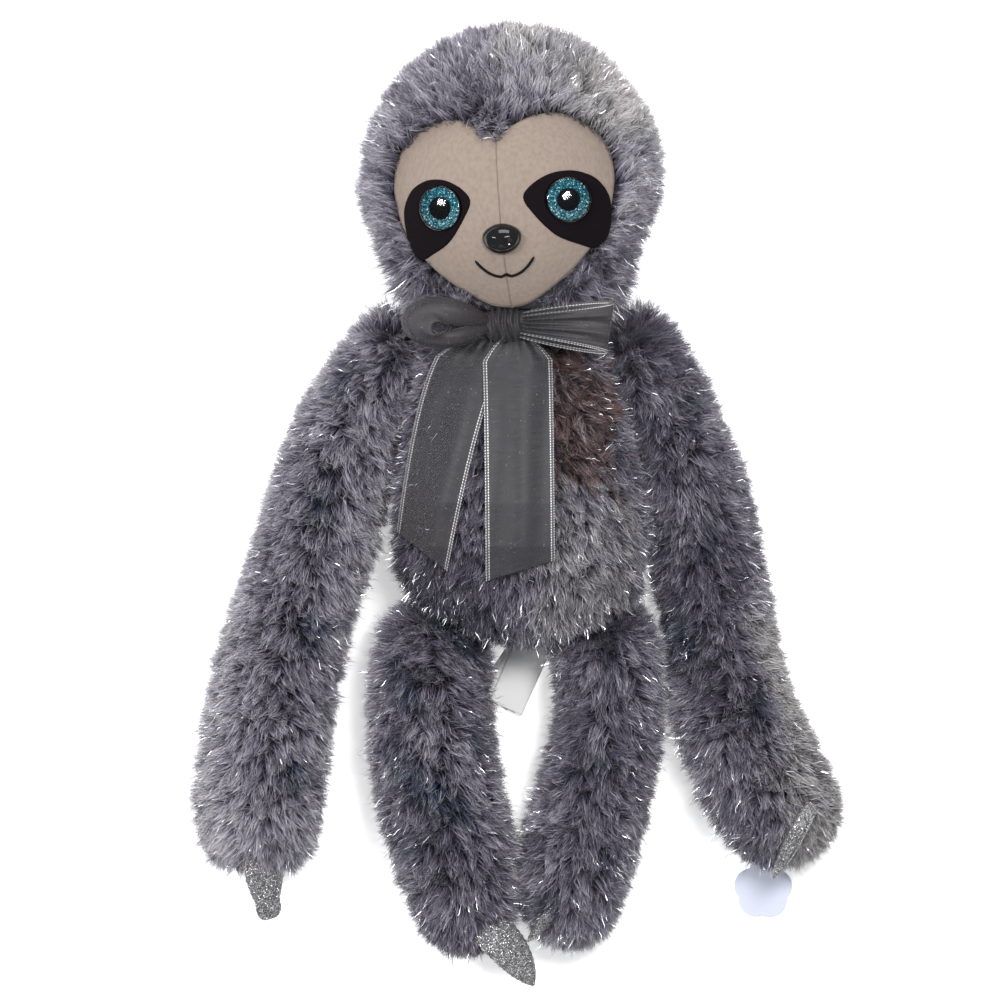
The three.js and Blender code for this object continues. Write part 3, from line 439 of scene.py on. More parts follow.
# Across the palette from navy through lavender, olive grey and silver to a rosy brown
PALETTE = [
    (0.0, srgb("#43506a")), (0.13, srgb("#625e72")), (0.28, srgb("#878294")),
    (0.42, srgb("#a09caa")), (0.54, srgb("#b9b7c1")), (0.64, srgb("#aaa8a2")),
    (0.78, srgb("#e6e4e2")), (0.89, srgb("#cdbdc1")), (1.0, srgb("#8b6558")),
]
NAP = 1400.0


def pile_material():
    """Along a strand the colour lightens from its root, partly the fur's own frosted tips and partly painted
    shade deep in the pile; each strand has its place on the palette.
    """
    n = Nodes("tinselled_pile")
    along, across = n.uv()
    # Painted shade: the dark root end stands for the shade deep in the pile and between the tufts, over the
    # fur's own dark-rooted, frosted colour
    tone = n.ramp(along, [
        (0.0, (0.035, 0.03, 0.045)), (0.25, (0.10, 0.09, 0.115)), (0.5, (0.34, 0.33, 0.36)),
        (0.75, (0.80, 0.79, 0.80)), (1.0, grey(1.3)),
    ])
    frost = n.times(
        n.ramp(along, [(0.0, grey(0)), (0.66, grey(0)), (1.0, grey(0.8))]),
        n.ramp(across, [(0.9, grey(1)), (0.96, grey(0.1))]))
    frosted = n.mix(frost, n.ramp(across, PALETTE), srgb("#b5b3b3"))
    n.base(n.mix(1.0, frosted, tone, "MULTIPLY"))
    return n.set(roughness=0.48, sheen_weight=0.15, sheen_roughness=0.4, specular_ior_level=0.5)


def painted_shade_backing_material():
    n = Nodes("pile_backing_painted_shade")
    # Painted shade: the backing is dark so that where it shows between the tufts it reads as shadow deep in
    # the pile
    grain = n.noise(420.0, 4.0)
    n.base(n.ramp(grain, [(0.3, srgb("#15141a")), (0.7, srgb("#2c2a35"))]))
    n.bump(grain, 0.6, 0.001)
    return n.set(roughness=0.95, sheen_weight=0.1)


def tinsel_material():
    n = Nodes("silver_tinsel")
    n.base(n.ramp(n.uv()[1], [(0.0, colours().silver), (1.0, srgb("#d5d8e6"))]))
    return n.set(metallic=1.0, roughness=0.36)


def velour_material(name, colour, shade, sheen):
    n = Nodes(name)
    fine = n.noise(NAP * 3, 2.0)
    blend = n.math("ADD", n.times(fine, 0.25), n.times(n.noise(30.0, 2.0), 0.75))
    n.base(n.ramp(blend, [(0.34, shade), (0.62, colour)]))
    n.bump(n.math("ADD", fine, n.times(n.noise(NAP, 4.0), 0.8)), 0.16, 0.0002)
    return n.set(roughness=0.9, sheen_weight=sheen, sheen_roughness=0.35, specular_ior_level=0.08)


def gloss_material(name, colour):
    n = Nodes(name)
    wear = n.noise(160.0, 3.0)
    n.base(n.ramp(wear, [(0.3, colour), (0.8, tuple(min(1, c * 1.6 + 0.004) for c in colour))]))
    n.link(n.ramp(wear, [(0.4, grey(0.06)), (0.9, grey(0.12))]), "Roughness")
    n.bump(n.noise(600.0, 2.0), 0.01, 0.0001)
    return n.set(specular_ior_level=0.4)


def iris_material():
    """A ring of glitter round a black pupil, laid out from the middle of the eye by its UV."""
    n = Nodes("glitter_iris")
    uv = n.add("UVMap", uv_map="OFBake").outputs[0]
    middle = n.add("VectorMath", {0: uv, 1: (0.5, 0.5, 0)}, operation="SUBTRACT").outputs[0]
    reach = n.add("VectorMath", {0: middle}, operation="LENGTH").outputs["Value"]
    flake = n.add("TexVoronoi", {"Scale": 44.0, "Vector": uv, "Randomness": 1.0})
    sparkle = n.add("SeparateColor", {0: flake.outputs["Color"]}).outputs[0]
    iris = tuple(colours().iris)
    glitter = n.ramp(sparkle, [
        (0.0, shades(iris, 0.3, 0.35, 0.4)), (0.4, iris), (0.7, shades(iris, 4, 2.5, 2.4)),
        (0.9, (0.05, 0.20, 0.25)), (1.0, (0.35, 0.6, 0.65)),
    ])
    pale = n.ramp(sparkle, [
        (0.0, (0.002, 0.016, 0.024)), (0.5, (0.02, 0.10, 0.13)), (0.85, (0.14, 0.3, 0.34)),
        (1.0, (0.8, 0.95, 1)),
    ])
    # Painted light: the ring is paler and its flakes whiter towards its lower half
    height = n.add("SeparateXYZ", {0: middle}).outputs[1]
    lower = n.math("MULTIPLY_ADD", height, -1.5, 0.2, clamp=True)
    ring = n.ramp(reach, [
        (0.0, grey(0)), (0.262, grey(0)), (0.275, grey(1)), (0.478, grey(1)), (0.49, grey(0)),
    ])
    n.base(n.mix(ring, (0.0012, 0.0012, 0.002), n.mix(lower, glitter, pale)))
    n.bump(sparkle, 0.12, 0.0001)
    return n.set(roughness=0.5, specular_ior_level=0.0)


def clear_material():
    """Only the dome's reflection shows over the eye: little from the front, more from the side."""
    n = Nodes("clear_dome")
    n.base(n.ramp(n.noise(90.0), [(0.3, (0.97, 0.985, 0.99)), (0.8, grey(1))]))
    n.link(n.times(n.add("Fresnel", {"IOR": 1.5}).outputs[0], 0.6), "Alpha")
    return n.set(metallic=1.0, roughness=0.07)


def organza_material():
    """Sheer cloth with woven silver lines along each edge. Its UV runs across and along the ribbon."""
    n = Nodes("organza")
    across, along = n.uv("ribbon")
    edge = n.math("MINIMUM", across, n.math("SUBTRACT", RIBBON_WIDTH, across))
    lines = n.ramp(n.times(n.times(edge, 1 / MM), 0.25), [
        (0.0, grey(0.1)), (0.04, grey(1)), (0.13, grey(1)), (0.17, grey(0.1)),
        (0.38, grey(0.1)), (0.42, grey(1)), (0.51, grey(1)), (0.56, grey(0)),
    ])
    stitch = n.math("SINE", n.times(along, 2 * math.pi / (1.4 * MM)))
    beads = n.times(lines, n.ramp(stitch, [(0.1, grey(0.3)), (0.5, grey(1))]))
    weft = n.noise(1.0, 2.0, n.vector(n.times(across, 90.0), n.times(along, 2600.0)))
    position = n.add("TexCoord").outputs["Object"]
    cell = n.vector(n.times(across, 330.0), n.times(along, 900.0))
    fleck = n.add("TexVoronoi", {"Scale": 1.0, "Vector": cell}).outputs["Distance"]
    rare = n.math("GREATER_THAN", n.noise(260.0, 1.0, position), 0.57)
    glint = n.times(n.math("LESS_THAN", fleck, 0.11), rare)
    bright = n.math("MAXIMUM", n.times(beads, 0.75), n.times(glint, 0.3))
    organza = colours().organza
    film = n.ramp(weft, [(0.3, shades(organza, 0.8, 0.8, 0.8)), (0.7, shades(organza, 1.25, 1.25, 1.2))])
    brown = n.ramp(n.noise(14.0, 1.0, position), [(0.45, grey(0)), (0.62, grey(0.3))])
    film = n.mix(brown, film, shades(organza, 1.3, 0.95, 0.85))
    n.base(n.mix(bright, film, tuple(colours().silver)))
    n.link(n.times(bright, 0.85), "Metallic")
    n.link(n.math("MAXIMUM", bright, n.ramp(weft, [(0.3, grey(0.55)), (0.75, grey(0.74))])), "Alpha")
    n.bump(weft, 0.25, 0.0002)
    return n.set(roughness=0.5, sheen_weight=0.12, sheen_roughness=0.3, specular_ior_level=0.3)


def silver_cloth_material():
    n = Nodes("silver_glitter_cloth")
    position = n.add("TexCoord").outputs["Object"]
    cell = n.add("TexVoronoi", {"Scale": 2100.0, "Vector": position})
    flake = n.add("SeparateColor", {0: cell.outputs["Color"]}).outputs[0]
    n.base(n.ramp(flake, [
        (0.0, srgb("#3e3d3f")), (0.5, srgb("#6f6e70")), (0.85, srgb("#a5a4a6")), (1.0, srgb("#f0f0f0")),
    ]))
    n.link(n.ramp(flake, [(0.2, grey(0.6)), (0.9, grey(0.22))]), "Roughness")
    n.bump(n.math("ADD", flake, cell.outputs["Distance"]), 0.7, 0.0004)
    return n.set(metallic=0.75)


def tape_material():
    n = Nodes("label_tape")
    warp = n.math("SINE", n.times(n.uv()[0], 420.0))
    n.base(n.ramp(n.noise(300.0), [(0.3, (0.80, 0.80, 0.79)), (0.7, grey(0.90))]))
    n.bump(warp, 0.2, 0.0001)
    return n.set(roughness=0.55, sheen_weight=0.3)


def card_material():
    n = Nodes("blank_card")
    grain = n.noise(520.0, 4.0)
    n.base(n.mix(n.times(grain, 0.5), srgb("#c3c7d6"), srgb("#adb3cb")))
    n.link(n.ramp(n.noise(60.0, 2.0), [(0.3, grey(0.35)), (0.8, grey(0.5))]), "Roughness")
    n.bump(grain, 0.1, 0.0001)
    return n.set(coat_weight=0.2)


def thread_material():
    n = Nodes("satin_thread")
    stitch = n.math("SINE", n.times(n.uv()[0], 340.0))
    n.base(n.ramp(stitch, [(0.0, srgb("#040203")), (1.0, srgb("#120c0e"))]))
    n.bump(stitch, 0.8, 0.0003)
    return n.set(roughness=0.7, sheen_weight=0.02, specular_ior_level=0.15)


def plastic_material(name, colour, alpha=1.0):
    n = Nodes(name)
    n.base(n.ramp(n.noise(500.0), [(0.3, shades(colour, 0.9, 0.9, 0.9)), (0.7, colour)]))
    return n.set(roughness=0.4, alpha=alpha)


MATERIALS = {}
MAKERS = {
    "pile": pile_material,
    "backing": painted_shade_backing_material,
    "tinsel": tinsel_material,
    "velour": lambda: velour_material(
        "velour", tuple(colours().velour), (0.195, 0.152, 0.128), 0.15),
    "dark_velour": lambda: velour_material(
        "dark_velour", tuple(colours().dark_velour), (0.004, 0.002, 0.003), 0.01),
    "black_plastic": lambda: gloss_material("black_gloss", (0.003, 0.003, 0.0035)),
    "glitter_print": iris_material,
    "clear_plastic": clear_material,
    "organza": organza_material,
    "silver_cloth": silver_cloth_material,
    "label_tape": tape_material,
    "card": card_material,
    "thread": thread_material,
    "washer": lambda: plastic_material("washer_plastic", (0.8, 0.79, 0.75)),
    "filament": lambda: plastic_material("clear_filament", grey(0.9), 0.6),
}


def material(name):
    if name not in MATERIALS:
        MATERIALS[name] = MAKERS[name]()
    return MATERIALS[name]


# The pile


def waves(points, size, seed):
    """A smooth field from -1 to 1, with features of about that size."""
    rng = np.random.default_rng(seed)
    total = np.zeros(len(points))
    for weight in (1.0, 0.8, 0.6, 0.45, 0.35):
        way = rng.normal(size=3)
        way *= 2 * np.pi / (size * np.linalg.norm(way) * rng.uniform(0.6, 1.6))
        total += weight * np.sin(points @ way + rng.uniform(0, 2 * np.pi))
    return total / 1.9


def normalised(vectors):
    return vectors / np.maximum(np.linalg.norm(vectors, axis=-1, keepdims=True), 1e-12)


def rise(value, start, span):
    """From 0 at a start to 1 a span further."""
    return np.clip((value - start) / span, 0, 1)


def fall(value, end, span):
    """From 1 down to 0 at an end, over a span."""
    return np.clip((end - value) / span, 0, 1)


def bell(value, width):
    return np.exp(-((value / width) ** 2))


def across_to(normals, way):
    """The part of a way that lies along the surface."""
    return way - normals * np.sum(way * normals, 1, keepdims=True)


def form_of(node, hull=False):
    """The stuffed form of a node as evenly spread points, normals and faces, without its cuts."""
    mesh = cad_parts[node].data.copy()
    if hull:
        shape = bmesh.new()
        shape.from_mesh(mesh)
        made = bmesh.ops.convex_hull(shape, input=shape.verts)
        inside = [g for g in made["geom_interior"] + made["geom_unused"] if isinstance(g, bmesh.types.BMVert)]
        bmesh.ops.delete(shape, geom=inside, context="VERTS")
        bmesh.ops.remove_doubles(shape, verts=shape.verts, dist=1e-5)
        shape.to_mesh(mesh)
        shape.free()
    made = add_object("form", mesh)
    remesh = made.modifiers.new("even", "REMESH")
    remesh.mode = "VOXEL"
    remesh.voxel_size = sizes().tuft_spacing
    smooth = made.modifiers.new("rounded", "SMOOTH")
    smooth.factor = 0.6
    smooth.iterations = 10
    bpy.context.view_layer.update()
    even = made.evaluated_get(bpy.context.evaluated_depsgraph_get()).to_mesh()
    points, normals = np.empty((2, len(even.vertices) * 3), np.float32)
    even.vertices.foreach_get("co", points)
    even.vertices.foreach_get("normal", normals)
    quads, triangles = ([tuple(p.vertices) for p in even.polygons if len(p.vertices) == n] for n in (4, 3))
    bpy.data.objects.remove(made)
    bpy.data.meshes.remove(mesh)
    return points.reshape(-1, 3).astype(float), normals.reshape(-1, 3).astype(float), quads, triangles


def hair(body, finish, roots, controls, tips, sides, width, taper, u, v, crimp):
    """Strands as thin tapered blades. u runs along each strand between its two values."""
    count = len(roots)
    if not count:
        return
    points = np.empty((count, STRAND_POINTS, 3))
    uv = np.empty((count, STRAND_POINTS, 2))
    for k, share in enumerate((0.0, 0.36, 0.7)):
        place = (1 - share) ** 2 * roots + 2 * share * (1 - share) * controls + share ** 2 * tips
        if k:
            place = place + crimp * (-1) ** k
        half = sides * (width * taper[k] / 2)[:, None]
        points[:, 2 * k] = place - half
        points[:, 2 * k + 1] = place + half
        along = u[:, 0] + (u[:, 1] - u[:, 0]) * share
        uv[:, 2 * k] = np.stack([along, v - 0.002], 1)
        uv[:, 2 * k + 1] = np.stack([along, v + 0.002], 1)
    points[:, 6] = tips
    uv[:, 6] = np.stack([u[:, 1], v], 1)
    points[:, :, 2] = np.maximum(points[:, :, 2], LOWEST_STRAND)
    parts = max(1, math.ceil(count / (PILE_FACES // STRAND_FACES)))
    for part in range(parts):
        chosen = np.arange(part, count, parts)
        base = np.arange(len(chosen))[:, None] * STRAND_POINTS
        quads = np.concatenate([base + [0, 1, 3, 2], base + [2, 3, 5, 4]])
        mesh = build_mesh(
            f"{body}_{finish}_{part + 1}", points[chosen].reshape(-1, 3), quads, base + [4, 5, 6],
            uv[chosen].reshape(-1, 2))
        dress(mesh, finish, body, slot="pile")


def nearest(points, heads):
    """For each point, which of the heads lies nearest to it."""
    found = np.empty(len(points), int)
    for start in range(0, len(points), 2000):
        way = points[start:start + 2000, None] - heads[None]
        found[start:start + 2000] = np.argmin(np.einsum("ijk,ijk->ij", way, way), 1)
    return found


def mean_of_groups(values, group, count):
    total = np.zeros((count, values.shape[1]))
    np.add.at(total, group, values)
    return total / np.maximum(np.bincount(group, minlength=count), 1)[:, None]


def brushed_out(points, places):
    """How much longer the fur is at each point, near places that are given on the pattern."""
    longer = np.zeros(len(points))
    for x, y, reach, more in np.array(places) * MM:
        longer += more * bell(np.hypot(points[:, 0] - TOY.x - x, points[:, 1] - TOY.y - y), reach)
    return longer


def grow_pile(body, points, normals, lean, hue, seed, length=None, tone=None, stems=None, barred=None):
    """Tufts of strands over a form. Each array has a row for each of its points.

    The tufts draw together in clumps. stems are the ways up from the roots, where they aren't the
    form's normals. No strand reaches a place that is barred.
    """
    s = sizes()
    rng = np.random.default_rng(seed)
    count = len(points)
    length = np.full(count, s.pile_length) if length is None else length
    tone = np.zeros(count) if tone is None else tone
    stems = normals if stems is None else stems
    depth = s.pile_depth * length / s.pile_length
    flat = across_to(normals, rng.normal(size=(count, 3)))
    points = points + normalised(flat) * rng.uniform(0, 0.6 * s.tuft_spacing, (count, 1))
    clumps = max(1, int(count * (s.tuft_spacing / s.clump_spacing) ** 2))
    clump = nearest(points, points[rng.choice(count, clumps, replace=False)])

    swirl = (rng.normal(size=(clumps, 3)) * 0.2)[clump] + rng.normal(size=(count, 3)) * 0.15
    reach = (length + brushed_out(points, PILE_TRIM[body])) * rng.uniform(0.86, 1.12, count)
    base = points - stems * depth[:, None]
    tuft_tip = base + normalised(stems + lean + swirl) * reach[:, None]
    pull = rng.uniform(0.0, 0.42, clumps)[clump][:, None]
    tuft_tip += (mean_of_groups(tuft_tip, clump, clumps)[clump] - tuft_tip) * pull

    each = np.repeat(np.arange(count), s.strands_in_tuft)
    total = len(each)
    n = stems[each]
    offset = across_to(n, rng.normal(size=(total, 3)) * s.tuft_spacing * 0.6)
    roots = base[each] + offset
    gathering = rng.beta(6, 1.1, total)[:, None]
    own = rng.uniform(0.66, 1.05, total)[:, None]
    tips = roots + (tuft_tip - base)[each] * own - offset * gathering * 0.92
    tips += rng.normal(size=(total, 3)) * 0.32 * MM
    stray = rng.random(total) < 0.05
    tips[stray] += rng.normal(size=(stray.sum(), 3)) * 2.2 * MM
    controls = roots + n * (reach[each] * 0.46)[:, None] + (tips - roots) * 0.12
    roll = rng.normal(size=(total, 3)) * 0.6
    sides = normalised(np.cross(tips - roots, n + roll))
    width = s.strand_width * rng.uniform(0.7, 1.3, total)
    crimp = rng.normal(size=(total, 3)) * 0.16 * MM
    tuft_tone = tone + (rng.normal(size=clumps) * 0.05)[clump] + rng.normal(size=count) * 0.11
    start = np.clip(rng.normal(size=total) * 0.05, 0, 0.2)
    end = np.clip(0.80 + tuft_tone[each] + rng.normal(size=total) * 0.13, 0.3, 1.0)
    tuft_hue = hue + (rng.normal(size=clumps) * 0.025)[clump]
    v = np.clip(tuft_hue[each] + rng.normal(size=total) * 0.05, 0.004, 0.996)
    free = np.ones(total, bool)
    if barred:
        free = ~(barred(tips) | barred((roots + tips) / 2) | barred(controls))
    hair(body, "pile", roots[free], controls[free], tips[free], sides[free], width[free],
         (0.9, 1.0, 0.66), np.stack([start, end], 1)[free], v[free], crimp[free])

    # Crimped silver filaments stand a little out of the pile and lie over it
    bright = rng.choice(total, size=int(total * s.tinsel_share), replace=False)
    bright = bright[free[bright]]
    many = len(bright)
    bend = rng.normal(size=(many, 3)) * 3.4 * MM
    roots = roots[bright] + (tips - roots)[bright] * rng.uniform(0.5, 0.8, (many, 1))
    way = normalised((tuft_tip - base)[each[bright]] + bend)
    far = roots + way * (reach[each[bright]] * rng.uniform(0.34, 0.62, many))[:, None]
    sides = normalised(np.cross(way, rng.normal(size=(many, 3))))
    controls = (roots + far) / 2 + rng.normal(size=(many, 3)) * 1.3 * MM
    if barred:
        clear = ~(barred(far) | barred(controls))
        roots, controls, far, sides = roots[clear], controls[clear], far[clear], sides[clear]
        many = len(roots)
    hair(body, "tinsel", roots, controls, far, sides, s.tinsel_width * rng.uniform(0.8, 1.4, many),
         (0.9, 1.0, 1.0), np.tile((0.02, 0.98), (many, 1)), rng.uniform(0.01, 0.99, many),
         rng.normal(size=(many, 3)) * 0.35 * MM)


def sew_backing(body, form, depth):
    """The stuffed skin that the pile grows from."""
    points, normals, quads, triangles = form
    sunk = points - normals * np.broadcast_to(depth, len(points))[:, None]
    sunk[:, 2] = np.maximum(sunk[:, 2], LOWEST_SKIN)
    skin = dress(build_mesh(f"{body}_skin", sunk, quads, triangles), "backing", body, body, slot="pile")


def in_outline(x, y, edge):
    """Whether each place lies inside a closed edge."""
    inside = np.zeros(len(x), bool)
    for (x0, y0), (x1, y1) in zip(edge, np.roll(edge, -1, axis=0)):
        crosses = (y0 > y) != (y1 > y)
        if y1 != y0:
            inside ^= crosses & (x < (x1 - x0) * (y - y0) / (y1 - y0) + x0)
    return inside


def face_edge():
    """The face's whole edge, a little outside its cloth."""
    right = np.array(FACE_EDGE) * MM
    left = right[::-1][1:-1] * (-1, 1)
    edge = smooth_loop(np.concatenate([right, left]), 160)
    return edge + normalised(edge - FACE_FOCUS) * 1.2 * MM


def head_pile():
    form = form_of("head", hull=True)
    points, normals = form[:2]
    inverse = HEAD_MATRIX.inverted()
    turn = np.array(HEAD_MATRIX)[:3, :3]
    local = placed(points, inverse)
    n_local = normals @ turn
    x, y, z = local.T
    s = sizes()
    # At the neck the dark backing comes out to the fur's tips, as painted shade in the gap between the chin
    # and the knot
    at_neck = fall(points[:, 1], TOY.y + NECK + 24 * MM, 12 * MM) * fall(np.abs(x), 45 * MM, 12 * MM)
    sew_backing("head", form, s.pile_depth * (1 - 1.07 * at_neck))

    # Near the face the roots stand straight up beside its edge, and the fur leans away from it
    edge = face_edge()
    gap = np.sqrt(((local[:, None, :2] - edge[None]) ** 2).sum(2).min(1))
    beside = bell(gap, 11 * MM) * (z > 0)
    stems = normalised(n_local * (1 - beside)[:, None] + np.array([0, 0, 1.0]) * beside[:, None])
    away = normalised(np.column_stack([local[:, :2] - FACE_FOCUS, np.zeros_like(x)]))
    away[:, 2] = -0.2
    back = rise(-z, 0, 40 * MM)[:, None]
    away = across_to(n_local, away * (1 - back) + np.array([0, -1.0, -0.1]) * back)
    chin = fall(y, -38 * MM, 12 * MM)
    peak = bell(x - HAIR_PEAK_X, 11 * MM) * (y > 0)
    lean = (0.42 + 0.42 * beside - beside * (0.9 * chin + 1.3 * peak))[:, None] * away

    side = x / HEAD_HALF.x
    cloud = waves(local, 60 * MM, 11)
    spots = waves(local, 30 * MM, 12)
    seam = 1 / (1 + np.exp(-(x + 2 * MM) / (1.6 * MM)))
    upper = rise(y, 5 * MM, 30 * MM)
    rosy = rise(side, 0.7, 0.2) * fall(np.abs(y - 5 * MM), 60 * MM, 60 * MM)
    low = fall(y, -35 * MM, 25 * MM)
    hue = 0.39 + 0.05 * cloud - 0.2 * np.clip(spots - 0.75, 0, 0.6)
    hue += seam * (0.06 + 0.25 * upper * np.clip(0.5 + side, 0, 1) + 0.05 * cloud)
    hue += rosy * 0.2 * (0.6 + 0.4 * spots)
    hue = hue * (1 - low) + (0.33 + 0.03 * cloud) * low
    # The tips are lighter where the head turns sideways from the camera, as painted rim light, and darker low
    # down by the chin, as painted shade; the rest of the tone is the fur's own colour
    tone = 0.05 + 0.03 * cloud + 0.1 * seam * upper + 0.05 * fall(n_local[:, 2], 0.6, 0.5) - 0.06 * low
    length = np.full(len(points), s.pile_length)
    length[(y < -60 * MM) & (z > 5 * MM)] *= 0.8

    # Low down, and at the peak of the hair line, a few tips fall over the face
    overhang = 8 * MM * bell(edge[:, 0] - HAIR_PEAK_X, 12 * MM) + 0.8 * MM
    overhang = np.where(edge[:, 1] < -36 * MM, 3.5 * MM, overhang)
    overhang += np.where((edge[:, 0] < -20 * MM) & (edge[:, 1] > -32 * MM), 1.6 * MM, 0)
    free_edge = edge - normalised(edge - FACE_FOCUS) * overhang[:, None]

    def on_the_face(places):
        across, up, out = placed(places, inverse).T
        return in_outline(across, up, free_edge) & (out > 0)

    over_face = in_outline(x, y, edge) & (z > 0)
    sewn = (points[:, 1] < TOY.y + NECK + 2.5 * MM) & (n_local[:, 1] < -0.9)
    keep = ~over_face & ~sewn
    grow_pile("head", points[keep], normals[keep], lean[keep] @ turn.T, hue[keep], 3, length[keep],
              tone[keep], stems[keep] @ turn.T, on_the_face)


def torso_halves(y):
    """The torso's half width, half depth and shift to the right, at a height on the pattern."""
    up = y - TORSO_BOTTOM
    return (np.interp(up, TORSO_STATIONS[:, 0], TORSO_STATIONS[:, k]) for k in (1, 2, 3))


def inside_torso(points, grow):
    x, y, z = (points - np.array(TOY)).T
    half_width, half_depth, shift = torso_halves(y)
    across = (x - TORSO_X - shift) / (half_width + grow)
    up = (z - TORSO_MIDDLE) / (half_depth + grow)
    between = (y - TORSO_BOTTOM > -grow) & (y - TORSO_BOTTOM < TORSO_LENGTH + grow)
    return between & (across ** 2 + up ** 2 < 1)


def under_tails(local):
    """How far each place on the torso is pressed down by the ribbon's tails, from 0 to 1."""
    pressed = np.zeros(len(local))
    for tail in TAILS.values():
        down = (KNOT.y - local[:, 1]) / tail["reach"]
        swing = tail["swing"] * np.clip(down, 0, 1) ** tail["curve"]
        middle = KNOT.x + tail["side"] * (tail["start"] + swing)
        half = RIBBON_WIDTH / 2 * (1 - tail["narrow"] * np.clip(down, 0, 1))
        near = np.abs(local[:, 0] - middle) - half
        along = rise(down, 0, 0.05) * fall(down, 1.03, 0.05)
        pressed = np.maximum(pressed, fall(near, 3 * MM, 3 * MM) * along)
    return pressed * (local[:, 2] > TORSO_MIDDLE)


def torso_pile():
    form = form_of("torso", hull=True)
    points, normals = form[:2]
    s = sizes()
    local = points - np.array(TOY)
    x, y, z = local.T
    # At the top of the neck the dark backing comes out to the fur's tips, as painted shade in the gap under
    # the knot
    sew_backing("torso", form, s.pile_depth * (1 - 0.97 * rise(y, NECK - 22 * MM, 9 * MM)))
    down = across_to(normals, np.array([0.0, -1.0, 0.0]))
    lean = (0.32 + 0.3 * np.clip(normals[:, 2:3], 0, 1)) * down

    cloud = waves(local, 55 * MM, 21)
    front = rise(z, 50 * MM, 25 * MM)
    chest = bell(x - 32 * MM, 26 * MM) * bell(y - 46 * MM, 42 * MM) * front
    chest = rise(chest + 0.1 * cloud + 0.3 * waves(local, 13 * MM, 27), 0.36, 0.1)
    belly = rise(x, 2 * MM, 14 * MM) * fall(y, 22 * MM, 24 * MM) * front
    dark = fall(x, -4 * MM, 20 * MM) * fall(y, -5 * MM, 20 * MM) * (1 - belly)
    hue = (0.31 + 0.07 * cloud) * (1 - chest) + 0.985 * chest
    below = hue * (1 - 0.85 * belly) + 0.62 * 0.85 * belly - 0.08 * dark
    hue = np.where(chest > 0.35, hue, below)
    tone = 0.02 * cloud - 0.28 * dark - 0.2 * chest - 0.06
    pressed = under_tails(local)
    length = s.pile_length * (1 - 0.14 * pressed)
    lean = lean * (1 + 0.4 * pressed[:, None])

    keep = (y <= NECK - 9.5 * MM) & (normals[:, 1] < 0.9)
    for ball, radius in (
        (SHOULDER_LEFT, SHOULDER_RADIUS), (SHOULDER_RIGHT, SHOULDER_RADIUS),
        (HIP_LEFT, HIP_RADIUS), (HIP_RIGHT, HIP_RADIUS),
    ):
        keep &= np.linalg.norm(local - np.array(ball), axis=1) > radius - 6 * MM
    grow_pile("torso", points[keep], normals[keep], lean[keep], hue[keep], 5, length[keep], tone[keep])


def limb_pile(body, way, seed, hue_of):
    form = form_of(body)
    points, normals = form[:2]
    sew_backing(body, form, sizes().pile_depth)
    # From the middle of a limb the fur falls down and out to both of its sides
    front = np.clip(normals[:, 2:3], 0, 1)
    lean = across_to(normals, (0.22 + 0.3 * front) * np.array(way) + normals * (0.5, 0.3, 0) * front)
    keep = ~inside_torso(points, -5 * MM)
    hue, tone = hue_of(points - np.array(TOY), normals)
    grow_pile(body, points[keep], normals[keep], lean[keep], hue[keep], seed, tone=tone[keep])


def limb_hue(seed, base, tone_of_all, tip_y, silver_side=0):
    """The colours of a limb: slate purple with teal patches, silver grey at its tip, and paler round its
    sides as painted rim light.

    silver_side tells how silver its lower half is along one side: below 0 the left, above 0 the right.
    """
    def hue_of(local, normals):
        y = local[:, 1]
        cloud = waves(local, 70 * MM, seed)
        spots = waves(local, 40 * MM, seed + 1)
        streaks = waves(local * (2.2, 0.6, 1), 34 * MM, seed + 2)
        hue = base + 0.05 * cloud - 0.55 * np.clip(spots - 0.45, 0, 0.5)
        hue += 0.3 * np.clip(streaks - 0.75, 0, 0.8)
        tip = fall(y, tip_y + 22 * MM, 30 * MM)
        # Painted rim light: the fur is paler where the limb turns away from the camera; the paler tip is the
        # fur's own colour
        rim = fall(normals[:, 2], 0.75, 0.5)
        pale = np.clip(rim + 0.45 * tip, 0, 1) * (0.75 + 0.25 * cloud)
        hue = hue + (0.6 - hue) * 0.75 * pale
        tone = tone_of_all + 0.04 * cloud + 0.09 * pale
        if silver_side:
            paw = fall(y, -105 * MM, 40 * MM)
            outward = np.sign(silver_side) * normals[:, 0]
            silver = rise(outward + 0.4 * paw + 0.15 * cloud, 0.3, 0.3) * fall(y, -10 * MM, 60 * MM)
            silver *= abs(silver_side)
            hue = hue + (0.72 - hue) * 0.85 * silver
            tone += 0.12 * silver
        return hue, tone
    return hue_of


# The way that a limb's fur lies, its seed, and what limb_hue takes
LIMBS = {
    "arm_left": ((-0.28, -0.96, -0.05), 31, (41, 0.31, 0.15, -160 * MM, -0.3)),
    "arm_right": ((0.3, -0.95, -0.05), 32, (51, 0.27, -0.1, -160 * MM, 1)),
    "leg_left": ((0.05, -1.0, -0.05), 33, (61, 0.25, -0.02, -205 * MM)),
    "leg_right": ((-0.1, -1.0, -0.05), 34, (71, 0.26, -0.06, -205 * MM)),
}


# The face


def on_face(x, y, lift):
    """The place on the stuffed face, raised along its normal."""
    a = (x - FACE_MIDDLE.x) / FACE_HALF.x
    b = (y - FACE_MIDDLE.y) / FACE_HALF.y
    c = np.sqrt(np.maximum(1 - a * a - b * b, 0.01))
    place = np.stack([x, y, FACE_MIDDLE.z + c * FACE_HALF.z], -1)
    normal = normalised(np.stack([a / FACE_HALF.x, b / FACE_HALF.y, c / FACE_HALF.z], -1))
    return place + normal * np.asarray(lift)[..., None]


def face_matrix(place, lift):
    """Where a moulded piece sits on the face."""
    spot = on_face(np.array([place.x]), np.array([place.y]), np.array([lift]))[0]
    return HEAD_MATRIX @ Matrix.Translation(Vector(spot))


